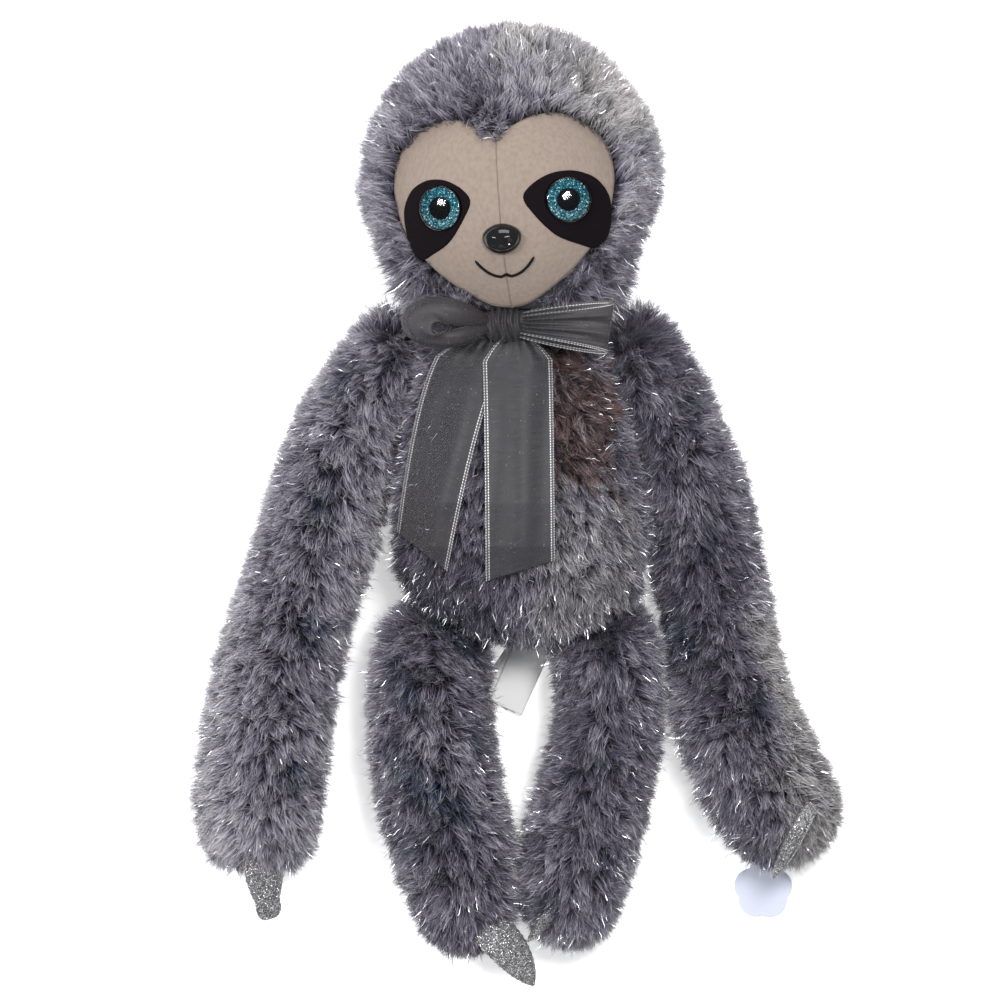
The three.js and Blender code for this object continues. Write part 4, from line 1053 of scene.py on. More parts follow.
def face_shell(name, edge, middle, lift, thickness, rings):
    """A closed shell of cloth on the face, inside an edge that its middle looks out to."""
    count = len(edge)
    shares = np.linspace(0, 1, rings + 1)[1:] ** 0.85
    flat = np.concatenate([[middle]] + [middle + (edge - middle) * share for share in shares])
    share_of = np.concatenate([[0], np.repeat(shares, count)])
    raised = lift(flat[:, 0], flat[:, 1], share_of)
    outer = on_face(flat[:, 0], flat[:, 1], raised)
    inner = on_face(flat[:, 0], flat[:, 1], raised - thickness)
    i = np.arange(count)
    after = (i + 1) % count
    quads = flipped(ring_faces(rings, count)[0]) + 1
    fan = np.stack([np.zeros(count, int), 1 + i, 1 + after], 1)
    layer = len(flat)
    last = 1 + (rings - 1) * count
    rim = np.stack([last + i, layer + last + i, layer + last + after, last + after], 1)
    quads = np.concatenate([quads, quads[:, ::-1] + layer, rim])
    fans = np.concatenate([fan, fan[:, ::-1] + layer])
    points = placed(np.concatenate([outer, inner]), HEAD_MATRIX)
    low, high = flat.min(0), flat.max(0)
    uv = (flat - low) / (high - low) * 0.98 + 0.01
    return build_mesh(name, points, quads, fans, np.concatenate([uv, uv]))


def half_face_edge(side):
    right = np.array(FACE_EDGE) * MM
    t = np.linspace(0, 1, 90)
    steps = np.linspace(0, 1, len(right))
    curve = np.stack([np.interp(t, steps, right[:, k]) for k in range(2)], 1)
    for _ in range(6):
        curve[1:-1] = (curve[:-2] + curve[1:-1] * 2 + curve[2:]) / 4
    curve = curve + normalised(curve - FACE_FOCUS) * 1.6 * MM
    curve[:, 0] = np.maximum(curve[:, 0], SEAM_GAP)
    seam_y = np.linspace(curve[-1, 1], curve[0, 1], 50)[1:-1]
    seam = np.stack([np.full(48, SEAM_GAP), seam_y], 1)
    return np.concatenate([curve, seam]) * (side, 1)


def behind_eye(x, y, side):
    """How far the cloth goes down behind the cup of an eye, from 0 to 1."""
    return fall(np.hypot(x - side * EYE.x - EYE_SHIFT, y - EYE.y), EYE_HOLE, 0.7 * MM)


def dress_face():
    for name, side in SIDES:
        def lift(x, y, share, side=side):
            seam = np.exp(-(np.abs(x) / (0.8 * MM)) ** 1.5)
            pucker = 0.12 * MM * np.sin(y / (2.2 * MM)) * np.exp(-np.abs(x) / (3 * MM))
            soft = 0.3 * MM * np.sin(x / (11 * MM) + 1.3) * np.sin(y / (13 * MM))
            fold = 0.5 * MM * bell(x - 0.35 * y - side * 31 * MM, 4 * MM) * fall(y, -34 * MM, 8 * MM)
            down = 3.6 * MM * behind_eye(x, y, side)
            return VELOUR_LIFT - seam * 0.3 * MM + pucker + (soft - fold) * (1 - share) - down

        edge = half_face_edge(side)[::side]
        middle = np.array([side * 24 * MM, -16 * MM])
        mesh = face_shell(f"face_velour_{name}", edge, middle, lift, VELOUR, 26)
        panel = dress(mesh, "velour", "head", f"face_panel_{name}")

        def raise_patch(x, y, share, side=side):
            rolled = 1 - rise(share, 0.93, 0.07) ** 2 * 0.75
            return VELOUR_LIFT + PATCH_LIFT * rolled - 3.2 * MM * behind_eye(x, y, side)

        eye = np.array([side * PATCH.x, PATCH.y])
        patch = smooth_loop(np.array(EYE_PATCH_EDGE) * MM, 110) * (side * PATCH_WIDTHS[name], 1) + eye
        mesh = face_shell(f"eye_velour_{name}", patch[::-side], eye, raise_patch, PATCH_VELOUR, 34)
        piece = dress(mesh, "dark_velour", "head", f"eye_patch_{name}")

    across = np.linspace(-1, 1, 121)
    dip = MOUTH_DIP * np.clip(1 - 6 * np.abs(across), 0, 1)
    x = across * MOUTH_HALF_WIDTH
    y = MOUTH_Y + MOUTH_RISE * np.abs(across) ** 2.4 + dip
    path = placed(on_face(x, y, np.full(len(x), THREAD_LIFT)), HEAD_MATRIX)
    dress(tube_mesh("mouth_thread", path, THREAD_RADIUS, 10), "thread", "head", "mouth_stitching")


def tube_mesh(name, path, radius, sides):
    """A closed tube along a path, rounded off at both ends."""
    path = np.asarray(path)
    way = normalised(np.gradient(path, axis=0))
    up = normalised(np.cross(way, np.cross(np.array([0.02, 0.03, 1.0]), way)))
    right = np.cross(way, up)
    count = len(path)
    end = np.minimum(np.arange(count), np.arange(count)[::-1])
    girth = radius * np.sqrt(np.clip((end + 0.6) / 4, 0, 1))
    angle = np.arange(sides) * 2 * np.pi / sides
    ring = np.cos(angle)[None, :, None] * right[:, None] + np.sin(angle)[None, :, None] * up[:, None]
    points = (path[:, None] + ring * girth[:, None, None]).reshape(-1, 3)
    cap = way * radius * 0.4
    points = np.concatenate([points, path[:1] - cap[:1], path[-1:] + cap[-1:]])
    along = np.repeat(np.linspace(0.01, 0.99, count), sides)
    around = np.tile(0.02 + 0.96 * np.abs(np.linspace(-1, 1, sides)), count)
    uv = np.concatenate([np.stack([along, around], 1), [[0, 0]], [[1, 0]]])
    return build_mesh(name, points, *ring_faces(count, sides), uv)


# Turned profiles of an eye, in mm: radius and height over the place where it sits
IRIS_RADIUS = 11.2
CUP_PROFILE = [
    (0, -16.6), (2.5, -16.6), (2.5, -2.6), (10.5, -2.6), (11.6, -1.6), (11.6, 0.9),
    (11.35, 0.9), (11.35, -1.6), (0, -1.6),
]
IRIS_PROFILE = [(0, -0.6), (IRIS_RADIUS, -0.6), (IRIS_RADIUS, 0.2), (7, 0.2), (4, 0.2), (0, 0.2)]
DOME_FOOT = [(0, 0.1), (11.3, 0.1), (11.3, 0.95)]
DOME_RADIUS, DOME_TOP = 11.25, 3.2
DOME_ANGLE = math.radians(22)


def eye_matrix(side):
    place = Vector((side * EYE.x + EYE_SHIFT, EYE.y))
    return (
        face_matrix(place, EYE_LIFT)
        @ Matrix.Rotation(side * EYE_TURN, 4, "Y") @ Matrix.Rotation(EYE_TILT, 4, "X")
    )


def fit_eyes():
    angle = np.linspace(0, DOME_ANGLE, 22)
    ball = DOME_RADIUS / math.sin(angle[-1])
    cap = [(ball * math.sin(a), DOME_TOP - ball * (1 - math.cos(a))) for a in angle[:0:-1]]
    for name, side in SIDES:
        for piece, profile, steps, finish, node in (
            ("eye_cup", rounded(CUP_PROFILE, 0.12), 64, "black_plastic", "eye_housing"),
            ("glitter_iris", IRIS_PROFILE, 96, "glitter_print", "eye_iris"),
            ("clear_dome", [*DOME_FOOT, *cap, (0, DOME_TOP)], 96, "clear_plastic", "eye_lens"),
        ):
            points, quads, caps = turned(np.array(profile) * MM, steps)
            uv = points[:, :2] / (2 * IRIS_RADIUS * MM) + 0.5 if piece == "glitter_iris" else None
            mesh = build_mesh(f"{piece}_{name}", placed(points, eye_matrix(side)), quads, caps, uv)
            dress(mesh, finish, "head", f"{node}_{name}")
    for node in ("eye_washer_left", "eye_washer_right", "nose_washer"):
        finish_node(node, "washer")


def finish_node(node, finish):
    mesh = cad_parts[node].data
    mesh.materials.clear()
    mesh.materials.append(material(finish))


# The nose, in mm: its half sizes, and where its nostrils lie to each side
NOSE_HALF = np.array([10, 7.8, 7.5])
NOSTRIL_X, NOSTRIL_Y = 3.9, -1.8
NOSTRIL_HALF = (2.2, 1.9)
NOSTRIL_DEPTH, NOSTRIL_RIM = 1.0, 0.2
NOSE_BACK = -2.2


def fit_nose():
    around, rings = 96, 48
    lat = np.linspace(0, np.pi, rings + 1)[1:-1]
    lon = np.arange(around) * 2 * np.pi / around
    la, lo = np.meshgrid(lat, lon, indexing="ij")
    unit = np.stack([np.sin(la) * np.cos(lo), np.sin(la) * np.sin(lo), np.cos(la)], -1).reshape(-1, 3)
    unit = np.concatenate([unit, [[0, 0, 1.0]], [[0, 0, -1.0]]])
    points = np.sign(unit) * np.abs(unit) ** 0.94 * NOSE_HALF
    points[:, 0] *= 1 + 0.15 * unit[:, 1]
    points[:, 1] += 0.5 * np.cos(unit[:, 0] * np.pi) * np.maximum(unit[:, 1], 0)
    front = unit[:, 2] > 0
    for _, side in SIDES:
        across, up = points[:, 0] - side * NOSTRIL_X, points[:, 1] - NOSTRIL_Y
        gap = np.hypot(across / NOSTRIL_HALF[0], up / NOSTRIL_HALF[1])
        points[:, 2] += front * (NOSTRIL_RIM * bell(gap - 1.45, 0.45) - NOSTRIL_DEPTH * bell(gap, 1))
    points[:, 2] = np.maximum(points[:, 2], NOSE_BACK)
    quads, caps = (flipped(faces) for faces in ring_faces(len(lat), around))
    mesh = build_mesh("nose_button", placed(points * MM, face_matrix(NOSE, VELOUR_LIFT)), quads, caps)
    dress(mesh, "black_plastic", "head", "nose")


# The bow

TAILS = {
    "left": {
        "side": -1, "reach": 111 * MM, "start": 7 * MM, "swing": 36 * MM, "curve": 0.5,
        "lift": 0, "slant": math.radians(38), "narrow": 0.27, "wave": 0.4,
    },
    "right": {
        "side": 1, "reach": 121 * MM, "start": 5 * MM, "swing": 3 * MM, "curve": 0.3,
        "lift": 2.2 * MM, "slant": math.radians(-17), "narrow": 0.0, "wave": 1.9,
    },
}
LOOP_REACH = 49 * MM
LOOP_RISE = 11 * MM
LOOP_WIDTH = 32 * MM
LOOP_LEAN = math.radians(8)
LOOP_IN_KNOT = 5 * MM
ROLL_REACH, ROLL_HALF = 48 * MM, 15.5 * MM
ROLL_EYE_REACH, ROLL_EYE_HALF = 32 * MM, 9 * MM
ROLL_PUFF = 7.5 * MM
COLLAR_WIDTH = 7.5 * MM
COLLAR_DROP = 0.8 * MM
COLLAR_LIFT = 0.7 * MM
# How much cloth the weave is laid out along
LOOP_CLOTH, COLLAR_CLOTH = 100 * MM, 235 * MM
KNOT_CLOTH, KNOT_INSET = (21 * MM, 40 * MM), 6 * MM


def torso_front(x, y):
    """How high the front of the torso lies, at a place on the pattern."""
    half_width, half_depth, shift = torso_halves(np.clip(y, TORSO_BOTTOM, TORSO_BOTTOM + TORSO_LENGTH))
    across = np.minimum(np.abs(x - TORSO_X - shift) / half_width, 0.98)
    return TORSO_MIDDLE + half_depth * np.sqrt(1 - across ** 2)


def tail_surface(tail):
    def surface(u, v):
        v = 1 - v
        wave = tail["wave"]
        spread = (GATHER + (1 - GATHER) * np.clip(10 * v, 0, 1) ** 0.7) * (1 - tail["narrow"] * v)
        across = (u - 0.5) * RIBBON_WIDTH * spread
        down = v * (tail["reach"] + across * math.tan(tail["slant"]))
        fold = np.sin(np.pi * (3 * u + 0.5 * v) + wave) * np.clip(3 * v, 0, 1)
        crease = 0.5 * np.sin(9 * v + 2.1 * wave) * np.sin(np.pi * u * 1.3 + wave)
        gather = 0.6 * np.sin(np.pi * 9 * u) * np.clip(1 - 7 * v, 0, 1)
        x = KNOT.x + tail["side"] * (tail["start"] + tail["swing"] * v ** tail["curve"]) + across
        y = KNOT.y - KNOT_HALF.y * 0.9 - down
        z = torso_front(x, y) + tail["lift"] + 1.6 * MM + (fold + crease + gather) * MM
        return np.stack([x + TOY.x, y + TOY.y, z], -1)
    return surface


def loop_rise(out):
    share = np.minimum(1, 2.2 * out / LOOP_REACH)
    return LOOP_RISE * share * (2 - share)


def rolled_loop(u, v):
    """The left loop: both edges of the ribbon close in on a small eye and a crease."""
    turn = 2 * np.pi * (0.02 + 0.96 * v)
    bend = (1 - np.cos(turn)) / 2
    outer_y = 1.6 * MM * bend + ROLL_HALF * np.sin(turn) * np.abs(np.sin(turn / 2)) ** 0.5
    inner_y = ROLL_EYE_HALF * np.sin(turn) * np.sin(turn / 2) ** 10 - 2.4 * MM * bend
    away = np.abs(2 * u - 1)
    inward = away ** 1.6
    x = (ROLL_REACH + (ROLL_EYE_REACH - ROLL_REACH) * inward) * bend
    wrinkle = 0.5 * MM * np.sin(13 * away + 5 * v) * np.sin(np.pi * v) * (away > 0) * bend
    # Between the eye and the knot both edges are tucked in under the crease
    tucked = 1 - 0.75 * away ** 5 * fall(bend, 0.85, 0.2)
    height = ROLL_PUFF * np.sin(np.pi / 2 * away ** 0.8) * bend ** 0.5 * tucked + wrinkle
    return np.stack([
        TOY.x + KNOT.x - KNOT_HALF.x + LOOP_IN_KNOT - x,
        TOY.y + KNOT.y + outer_y + (inner_y - outer_y) * inward,
        KNOT.z + loop_rise(x) + np.sign(u - 0.5) * height,
    ], -1)


def flat_loop(u, v):
    """The right loop: it folds back at its far end, and its front layer is the narrower."""
    turn = np.pi * (0.5 - v) * 0.96
    share = np.cos(turn)
    out = LOOP_REACH * share
    front = (1 + np.sin(turn)) / 2
    spread = (GATHER + (1 - GATHER) * share ** 0.8) * (1 - 0.3 * front)
    across = (u - 0.5) * LOOP_WIDTH * spread
    pleat = 1.1 * MM * np.sin(np.pi * 11 * u + 1.0) * np.clip(1 - share, 0, 1) ** 1.1
    wave = 1.1 * MM * np.sin(np.pi * 5 * u + 2.4 * share) * share * (0.4 + 0.6 * front)
    return np.stack([
        TOY.x + KNOT.x + KNOT_HALF.x - LOOP_IN_KNOT + out + math.sin(LOOP_LEAN) * across,
        TOY.y + KNOT.y + across - 1.6 * MM * share,
        KNOT.z + loop_rise(out) + 4 * MM * np.sin(turn) * share ** 0.5 + pleat + wave,
    ], -1)


def collar(u, v):
    angle = 2 * np.pi * v * 0.999
    y = NECK - COLLAR_DROP - COLLAR_WIDTH * (1 - u)
    half_width, half_depth, _ = torso_halves(y)
    grow = COLLAR_LIFT + 0.25 * MM * np.sin(40 * angle) * np.sin(np.pi * u)
    return np.stack([
        TOY.x + TORSO_X + (half_width + grow) * np.sin(angle),
        TOY.y + y,
        TORSO_MIDDLE + (half_depth + grow) * np.cos(angle),
    ], -1)


def add_ribbon_uv(mesh, places):
    """A second UV map that keeps each point's real place across and along the ribbon."""
    corners = np.empty(len(mesh.loops), np.int32)
    mesh.loops.foreach_get("vertex_index", corners)
    layer = mesh.uv_layers.new(name="ribbon")
    layer.uv.foreach_set("vector", places[corners].astype(np.float32).ravel())


def ribbon(name, node, surface, across, along, length, tucked=lambda u: 0 * u):
    """A run of ribbon. tucked tells, from 0 to 1, how far its woven edges are out of sight."""
    points, quads, uv = closed_sheet(surface, across, along, ORGANZA)
    mesh = build_mesh(name, points, quads, None, uv)
    places = uv * (RIBBON_WIDTH, length)
    inset = HEM * tucked(uv[:, 0])
    places[:, 0] = np.clip(places[:, 0], inset, RIBBON_WIDTH - inset)
    add_ribbon_uv(mesh, places)
    return dress(mesh, "organza", "torso", node)


def tie_bow():
    for name, tail in TAILS.items():
        made = ribbon(
            f"organza_tail_{name}", f"ribbon_tail_{name}", tail_surface(tail), 40, 150, tail["reach"])
    for name, surface, tucked in (
        ("left", rolled_loop, np.ones_like), ("right", flat_loop, lambda u: 0.5 * (u > 0.5)),
    ):
        made = ribbon(f"organza_loop_{name}", f"ribbon_loop_{name}", surface, 48, 120, LOOP_CLOTH, tucked)
    made = ribbon("organza_collar", "ribbon_collar", collar, 14, 200, COLLAR_CLOTH, np.ones_like)


def tie_knot():
    """The knot: a puffed wrap of ribbon, with folds that run round it."""
    around, along = 72, 90
    lon = np.linspace(0, 2 * np.pi, around, endpoint=False)
    t, a = np.meshgrid(np.linspace(-1, 1, along + 1), lon, indexing="ij")
    belly = np.sqrt(np.clip(1 - np.abs(t) ** 2.2, 0, 1))
    fold = np.sin(7 * np.pi * t + 1.8 * np.cos(a) + 0.7 * np.sin(2 * a))
    fold += 0.5 * np.sin(11.3 * t - 2 * np.cos(a))
    girth = belly ** 0.35 * (1 + 0.13 * fold * np.clip(1 - t * t, 0, 1) ** 0.5)
    x = KNOT_FULL.x * (t * 0.97 + 0.06 * np.sin(3 * a) * (1 - t * t))
    y = KNOT_FULL.y * (0.72 + 0.28 * belly) * girth * np.cos(a)
    z = KNOT_FULL.z * (0.6 + 0.4 * belly) * girth * np.sin(a)
    ends = [[-KNOT_FULL.x, 0, 0], [KNOT_FULL.x, 0, 0]]
    points = np.concatenate([np.stack([x, y, z], -1).reshape(-1, 3), ends]) + np.array(TOY + KNOT)
    share = np.concatenate([((t + 1) / 2).ravel(), [0, 1]])
    wrap = np.concatenate([np.abs(np.sin(a / 2)).ravel(), [0.5, 0.5]])
    uv = np.stack([share, wrap], 1)
    mesh = build_mesh("organza_knot", points, *ring_faces(along + 1, around), uv * 0.98 + 0.01)
    add_ribbon_uv(mesh, uv * KNOT_CLOTH + (KNOT_INSET, 0))
    dress(mesh, "organza", "torso", "ribbon_knot")


# Claws, label, hang tag

CLAW_LENGTH = 46 * MM
CLAW_ROOT_SUNK = 5 * MM
# Share of the length, and shares of the width and the thickness
CLAW_STATIONS = np.array([
    (0, 0.84, 0.9), (0.25, 1, 1), (0.5, 0.93, 0.95), (0.7, 0.72, 0.8), (0.86, 0.45, 0.6), (0.97, 0.2, 0.4),
])
CLAWS = {
    "hand_left": {
        "body": "arm_left", "end": (-133, -159.7, 31.1), "root": (0.03, -0.29, 0.22),
        "ways": ((0, 0, 0), (0.02, -0.5, 0), (0.09, -1, -0.16)), "face": (0.25, 0, 1),
        "length": 46, "width": 22, "thickness": 5.4, "blunt": 0.62,
    },
    "hand_right": {
        "body": "arm_right", "end": (137, -156.7, 30.5), "root": (0.35, -0.06, 0.6),
        "ways": ((0, 0, 0), (-0.2, -0.37, 0.1), (-0.43, -0.83, -0.21)), "face": (0.2, 0.1, 1),
        "length": 46, "width": 9.4, "thickness": 9.4,
    },
    "foot_left": {
        "body": "leg_left", "end": (-26, -209.7, 26.9), "root": (0.18, -0.2, 0.36),
        "ways": ((0, 0, 0), (0.3, -0.3, -0.04), (0.54, -0.66, -0.24)), "face": (0.3, 0.1, 1),
        "length": 46, "width": 22, "thickness": 5.4,
    },
    "foot_right": {
        "body": "leg_right", "end": (29, -206.7, 26.2), "root": (-0.16, -0.1, 0.4),
        "ways": ((0, 0, 0), (-0.1, -0.12, -0.02), (-0.32, -0.38, -0.22)), "face": (0.8, -0.7, 0.9),
        "length": 26.7, "width": 9, "thickness": 5.4,
    },
}


def claw_mesh(name, claw):
    """A flat leaf of cloth with a seam round its edge, from inside the paw to its tip."""
    start = np.array(claw["end"]) * MM + np.array(claw["root"]) * CLAW_LENGTH
    a, b, c = np.array(claw["ways"]) * CLAW_LENGTH + start
    fine = np.linspace(0, 1, 200)[:, None]
    control = 2 * b - (a + c) / 2
    curve = (1 - fine) ** 2 * a + 2 * fine * (1 - fine) * control + fine ** 2 * c
    reach = np.concatenate([[0], np.cumsum(np.linalg.norm(np.diff(curve, axis=0), axis=1))])
    curve = curve[0] + (curve - curve[0]) * (claw["length"] * MM / reach[-1])
    rings, around = 44, 48
    share = np.linspace(0, 0.995, rings)
    centre = np.stack([np.interp(share, reach / reach[-1], curve[:, k]) for k in range(3)], 1)
    centre[:, 2] -= CLAW_ROOT_SUNK * fall(share, 0.4, 0.4) ** 2
    way = normalised(np.gradient(centre, axis=0))
    face = np.array(claw["face"], float)
    up = normalised(face - way * (way @ face)[:, None])
    right = np.cross(up, way)
    tip = np.sqrt(np.clip(1 - ((share - 0.86) / 0.14).clip(0) ** 2, 0, 1))
    leaf, swell = (np.interp(share, CLAW_STATIONS[:, 0], CLAW_STATIONS[:, k]) for k in (1, 2))
    width = np.maximum(leaf, claw.get("blunt", 0)) * claw["width"] / 2 * MM * (0.35 + 0.65 * tip)
    depth = swell * claw["thickness"] / 2 * MM * (0.25 + 0.75 * tip)
    angle = np.arange(around) * 2 * np.pi / around
    cos, sin = np.cos(angle), np.sin(angle)
    ridge = 1 - 0.28 * bell(cos - 0.55, 0.1) * (sin > 0)
    pucker = 1 + 0.03 * np.sin(share * 90)[:, None] * (np.abs(cos) > 0.8)
    flat = np.sign(sin) * np.abs(sin) ** 0.8 * ridge
    points = (
        centre[:, None]
        + right[:, None] * (width[:, None] * cos * pucker)[..., None]
        + up[:, None] * (depth[:, None] * flat)[..., None]
    ).reshape(-1, 3)
    points = np.concatenate([points, centre[:1], centre[-1:] + way[-1:] * 0.4 * MM]) + np.array(TOY)
    return build_mesh(name, points, *ring_faces(rings, around))


def sew_claws():
    for name, claw in CLAWS.items():
        mesh = claw_mesh(f"silver_claw_{name}", claw)
        dress(mesh, "silver_cloth", claw["body"], f"claw_{name}")


LABEL_WIDTH, LABEL_REACH = 19 * MM, 46 * MM
LABEL_PLACE = (13.5 * MM, NECK - 166 * MM)
LABEL_TURN = math.radians(-29)
LABEL_SPREAD = math.radians(5)
LABEL_LOWEST, LABEL_STEP = 1.65 * MM, 0.8 / 0.62 * MM
LABEL_RISE = 13 * MM
LABEL_TAPE = 0.3 * MM


def sew_label():
    for index, name in enumerate(("back", "middle", "front")):
        turn = LABEL_TURN + LABEL_SPREAD * (index - 1)
        level = LABEL_LOWEST + index * LABEL_STEP

        def surface(u, v, turn=turn, level=level, index=index):
            across, along = (0.5 - u) * LABEL_WIDTH, v * LABEL_REACH
            x = math.cos(turn) * across + math.sin(turn) * along
            y = math.sin(turn) * across - math.cos(turn) * along
            share = (x * math.sin(LABEL_TURN) - y * math.cos(LABEL_TURN)) / LABEL_REACH
            up = LABEL_RISE * np.clip(1 - 1.7 * share, 0, None) ** 2
            curl = (0.5 + 0.7 * index) * MM * np.clip(share - 0.55, 0, 1) ** 2 * 4
            return np.stack([
                TOY.x + LABEL_PLACE[0] + x, TOY.y + LABEL_PLACE[1] + y, level + up + curl], -1)

        points, quads, uv = closed_sheet(surface, 16, 60, LABEL_TAPE)
        mesh = build_mesh(f"label_tape_{name}", points, quads, None, uv)
        made = dress(mesh, "label_tape", "torso", f"label_leaf_{name}")


TAG_RADIUS = 15.5 * MM
TAG_THICKNESS = 0.8 * MM
TAG_LIFT = 2 * MM
TAG_BEVEL = 0.12 * MM
TAG_LOBES = 5
TAG_FIRST_LOBE = math.radians(16)
TAG_HOLE_RADIUS = 1.5 * MM
TAG_HANG, TAG_HANG_TURN = 11 * MM, math.radians(-122)


def tie_tag():
    """A flat card with five round lobes and a hole for its pin."""
    around = 240
    angle = np.arange(around) * 2 * np.pi / around
    hole = np.array([TOY.x + PIN_PLACE[0], TOY.y + PIN_PLACE[1]])
    middle = hole + TAG_HANG * np.array([math.cos(TAG_HANG_TURN), math.sin(TAG_HANG_TURN)])
    from_lobe = (angle - TAG_FIRST_LOBE) % (2 * np.pi / TAG_LOBES)
    from_lobe = np.minimum(from_lobe, 2 * np.pi / TAG_LOBES - from_lobe)
    centre, lobe = 0.42 * TAG_RADIUS, 0.58 * TAG_RADIUS
    reach = centre * np.cos(from_lobe) + np.sqrt(lobe ** 2 - (centre * np.sin(from_lobe)) ** 2)
    way = np.stack([np.cos(angle), np.sin(angle)], 1)
    wall, face = (middle + way * edge[:, None] for edge in (reach, reach - TAG_BEVEL))
    bore = hole + way * TAG_HOLE_RADIUS
    low, high = TAG_LIFT, TAG_LIFT + TAG_THICKNESS
    rings = [
        (wall, low + TAG_BEVEL), (wall, high - TAG_BEVEL), (face, high), (bore, high), (bore, low),
        (face, low),
    ]
    points = np.concatenate([np.column_stack([flat, np.full(around, z)]) for flat, z in rings])
    quads = ring_faces(len(rings) + 1, around)[0] % len(points)
    mesh = build_mesh("blank_card", points, quads, None, (points[:, :2] - middle) / (2 * TAG_RADIUS) + 0.5)
    dress(mesh, "card", "hang_tag", "hang_tag")
    mesh.shade_flat()
    finish_node("tag_pin", "filament")


# The stage

FLOOR_HALF = 6.0
# Place, aim, width, height and power of each softbox
SOFTBOXES = {
    "key_softbox": ((0.38, 0.32, 1.9), (0, 0.02, 0), 0.36, 0.58, 30),
    "fill_softbox": ((-1.25, 0.3, 1.55), (0, 0, 0), 0.36, 0.58, 28),
    "top_softbox": ((0, 1.7, 1.4), (0, 0, 0), 1.4, 0.9, 24),
    "low_softbox": ((0.0, -1.6, 1.4), (0, 0, 0), 1.4, 1.0, 3),
}
CAMERA_HEIGHT, TOY_HEIGHT = 9.0, 0.06
PICTURE_WIDTH = 0.52
SENSOR = 36
CAMERA_PLACE = (-8.06 * MM, 1.04 * MM)


def lay_stage():
    floor = bpy.data.meshes.new("floor")
    corners = [(x * FLOOR_HALF, y * FLOOR_HALF, 0) for x, y in ((-1, -1), (1, -1), (1, 1), (-1, 1))]
    floor.from_pydata(corners, [], [(0, 1, 2, 3)])
    ground = add_object("floor", floor)
    n = Nodes("pale_floor")
    n.base(n.ramp(n.noise(3.0), [(0.3, grey(0.93)), (0.7, grey(0.95))]))
    floor.materials.append(n.set(roughness=0.9, emission_color=(1, 1, 1, 1), emission_strength=0.5))

    for name, (place, aim, width, height, power) in SOFTBOXES.items():
        light = bpy.data.lights.new(name, "AREA")
        light.shape = "RECTANGLE"
        light.size, light.size_y, light.energy = width, height, power
        made = add_object(name, light)
        made.location = place
        made.rotation_euler = (Vector(aim) - Vector(place)).to_track_quat("-Z", "Y").to_euler()
    scene = bpy.context.scene
    scene.world = bpy.data.worlds.new("studio")
    scene.world.use_nodes = True
    background = scene.world.node_tree.nodes["Background"]
    background.inputs[0].default_value = (0.95, 0.97, 1.0, 1)
    background.inputs[1].default_value = 0.32

    camera = bpy.data.cameras.new("camera")
    camera.sensor_width = SENSOR
    camera.lens = SENSOR * (CAMERA_HEIGHT - TOY_HEIGHT) / PICTURE_WIDTH
    camera.clip_start, camera.clip_end = 0.1, 30
    scene.camera = add_object("camera", camera)
    scene.camera.location = (TOY.x + CAMERA_PLACE[0], TOY.y + CAMERA_PLACE[1], CAMERA_HEIGHT)
    scene.view_settings.view_transform = "Standard"


# Operators


class SLOTH_OT_stage(bpy.types.Operator):
    """Lays the pale floor and sets the studio lights and the camera"""
    bl_idname = "sloth.stage"
    bl_label = "Stage"

    def execute(self, context):
        lay_stage()
        return {"FINISHED"}


class SLOTH_OT_head_pile(bpy.types.Operator):
    """Grows the fur of the head round the face"""
    bl_idname = "sloth.head_pile"
    bl_label = "Head fur"

    def execute(self, context):
        head_pile()
        return {"FINISHED"}


class SLOTH_OT_torso_pile(bpy.types.Operator):
    """Grows the fur of the torso, pressed down under the ribbon"""
    bl_idname = "sloth.torso_pile"
    bl_label = "Torso fur"

    def execute(self, context):
        torso_pile()
        return {"FINISHED"}


class SLOTH_OT_limb_pile(bpy.types.Operator):
    """Grows the fur of the arms and legs"""
    bl_idname = "sloth.limb_pile"
    bl_label = "Arm and leg fur"

    def execute(self, context):
        for body, (way, seed, hues) in LIMBS.items():
            limb_pile(body, way, seed, limb_hue(*hues))
        return {"FINISHED"}


class SLOTH_OT_face(bpy.types.Operator):
    """Sews the velour face, the eye patches and the mouth"""
    bl_idname = "sloth.face"
    bl_label = "Face"

    def execute(self, context):
        dress_face()
        return {"FINISHED"}


class SLOTH_OT_eyes(bpy.types.Operator):
    """Fits the glitter eyes with their clear domes"""
    bl_idname = "sloth.eyes"
    bl_label = "Eyes"

    def execute(self, context):
        fit_eyes()
        return {"FINISHED"}


class SLOTH_OT_nose(bpy.types.Operator):
    """Fits the moulded nose"""
    bl_idname = "sloth.nose"
    bl_label = "Nose"

    def execute(self, context):
        fit_nose()
        return {"FINISHED"}


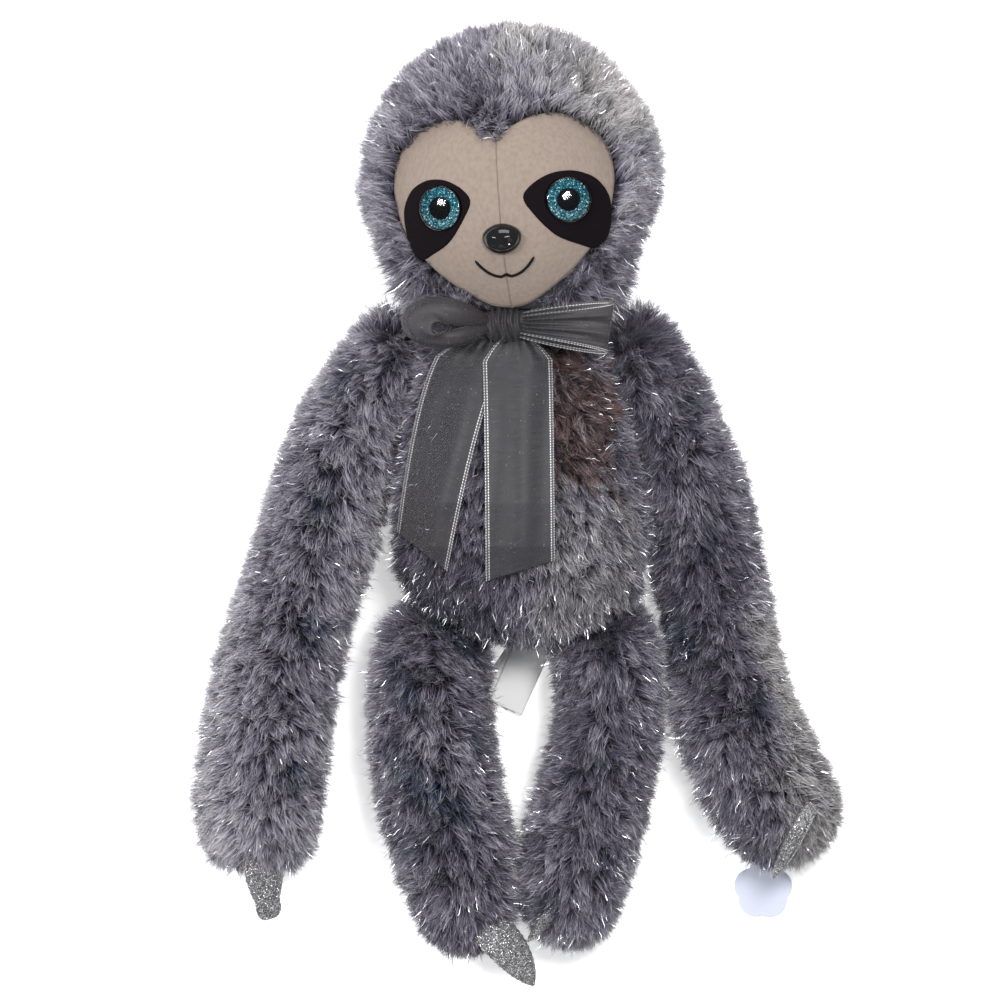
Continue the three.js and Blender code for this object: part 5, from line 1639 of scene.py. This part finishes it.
class SLOTH_OT_bow(bpy.types.Operator):
    """Ties the organza ribbon round the neck"""
    bl_idname = "sloth.bow"
    bl_label = "Ribbon bow"

    def execute(self, context):
        tie_bow()
        tie_knot()
        return {"FINISHED"}


class SLOTH_OT_claws(bpy.types.Operator):
    """Sews on the silver cloth claws"""
    bl_idname = "sloth.claws"
    bl_label = "Claws"

    def execute(self, context):
        sew_claws()
        return {"FINISHED"}


class SLOTH_OT_tags(bpy.types.Operator):
    """Sews in the label and ties on the hang tag"""
    bl_idname = "sloth.tags"
    bl_label = "Label and tag"

    def execute(self, context):
        sew_label()
        tie_tag()
        return {"FINISHED"}


class SLOTH_PT_panel(bpy.types.Panel):
    """Lists the sloth's steps and their sizes"""
    bl_label = "Plush sloth"
    bl_idname = "SLOTH_PT_panel"
    bl_space_type = "VIEW_3D"
    bl_region_type = "UI"
    bl_category = "Plush sloth"

    def draw(self, context):
        for group in (context.scene.sloth_sizes, context.scene.sloth_colours):
            for name in group.bl_rna.properties.keys():
                if name not in {"rna_type", "name"}:
                    self.layout.prop(group, name)
        for step in STEPS:
            self.layout.operator(step.bl_idname)


STEPS = (
    SLOTH_OT_stage, SLOTH_OT_head_pile, SLOTH_OT_torso_pile, SLOTH_OT_limb_pile, SLOTH_OT_face,
    SLOTH_OT_eyes, SLOTH_OT_nose, SLOTH_OT_bow, SLOTH_OT_claws, SLOTH_OT_tags,
)
CLASSES = (SlothSizes, SlothColours, *STEPS, SLOTH_PT_panel)


def register():
    for entry in CLASSES:
        bpy.utils.register_class(entry)
    bpy.types.Scene.sloth_sizes = PointerProperty(type=SlothSizes)
    bpy.types.Scene.sloth_colours = PointerProperty(type=SlothColours)


def unregister():
    del bpy.types.Scene.sloth_colours
    del bpy.types.Scene.sloth_sizes
    for entry in reversed(CLASSES):
        bpy.utils.unregister_class(entry)


def main():
    register()
    for step in STEPS:
        group, name = step.bl_idname.split(".")
        getattr(getattr(bpy.ops, group), name)()


if __name__ == "__main__":
    main()
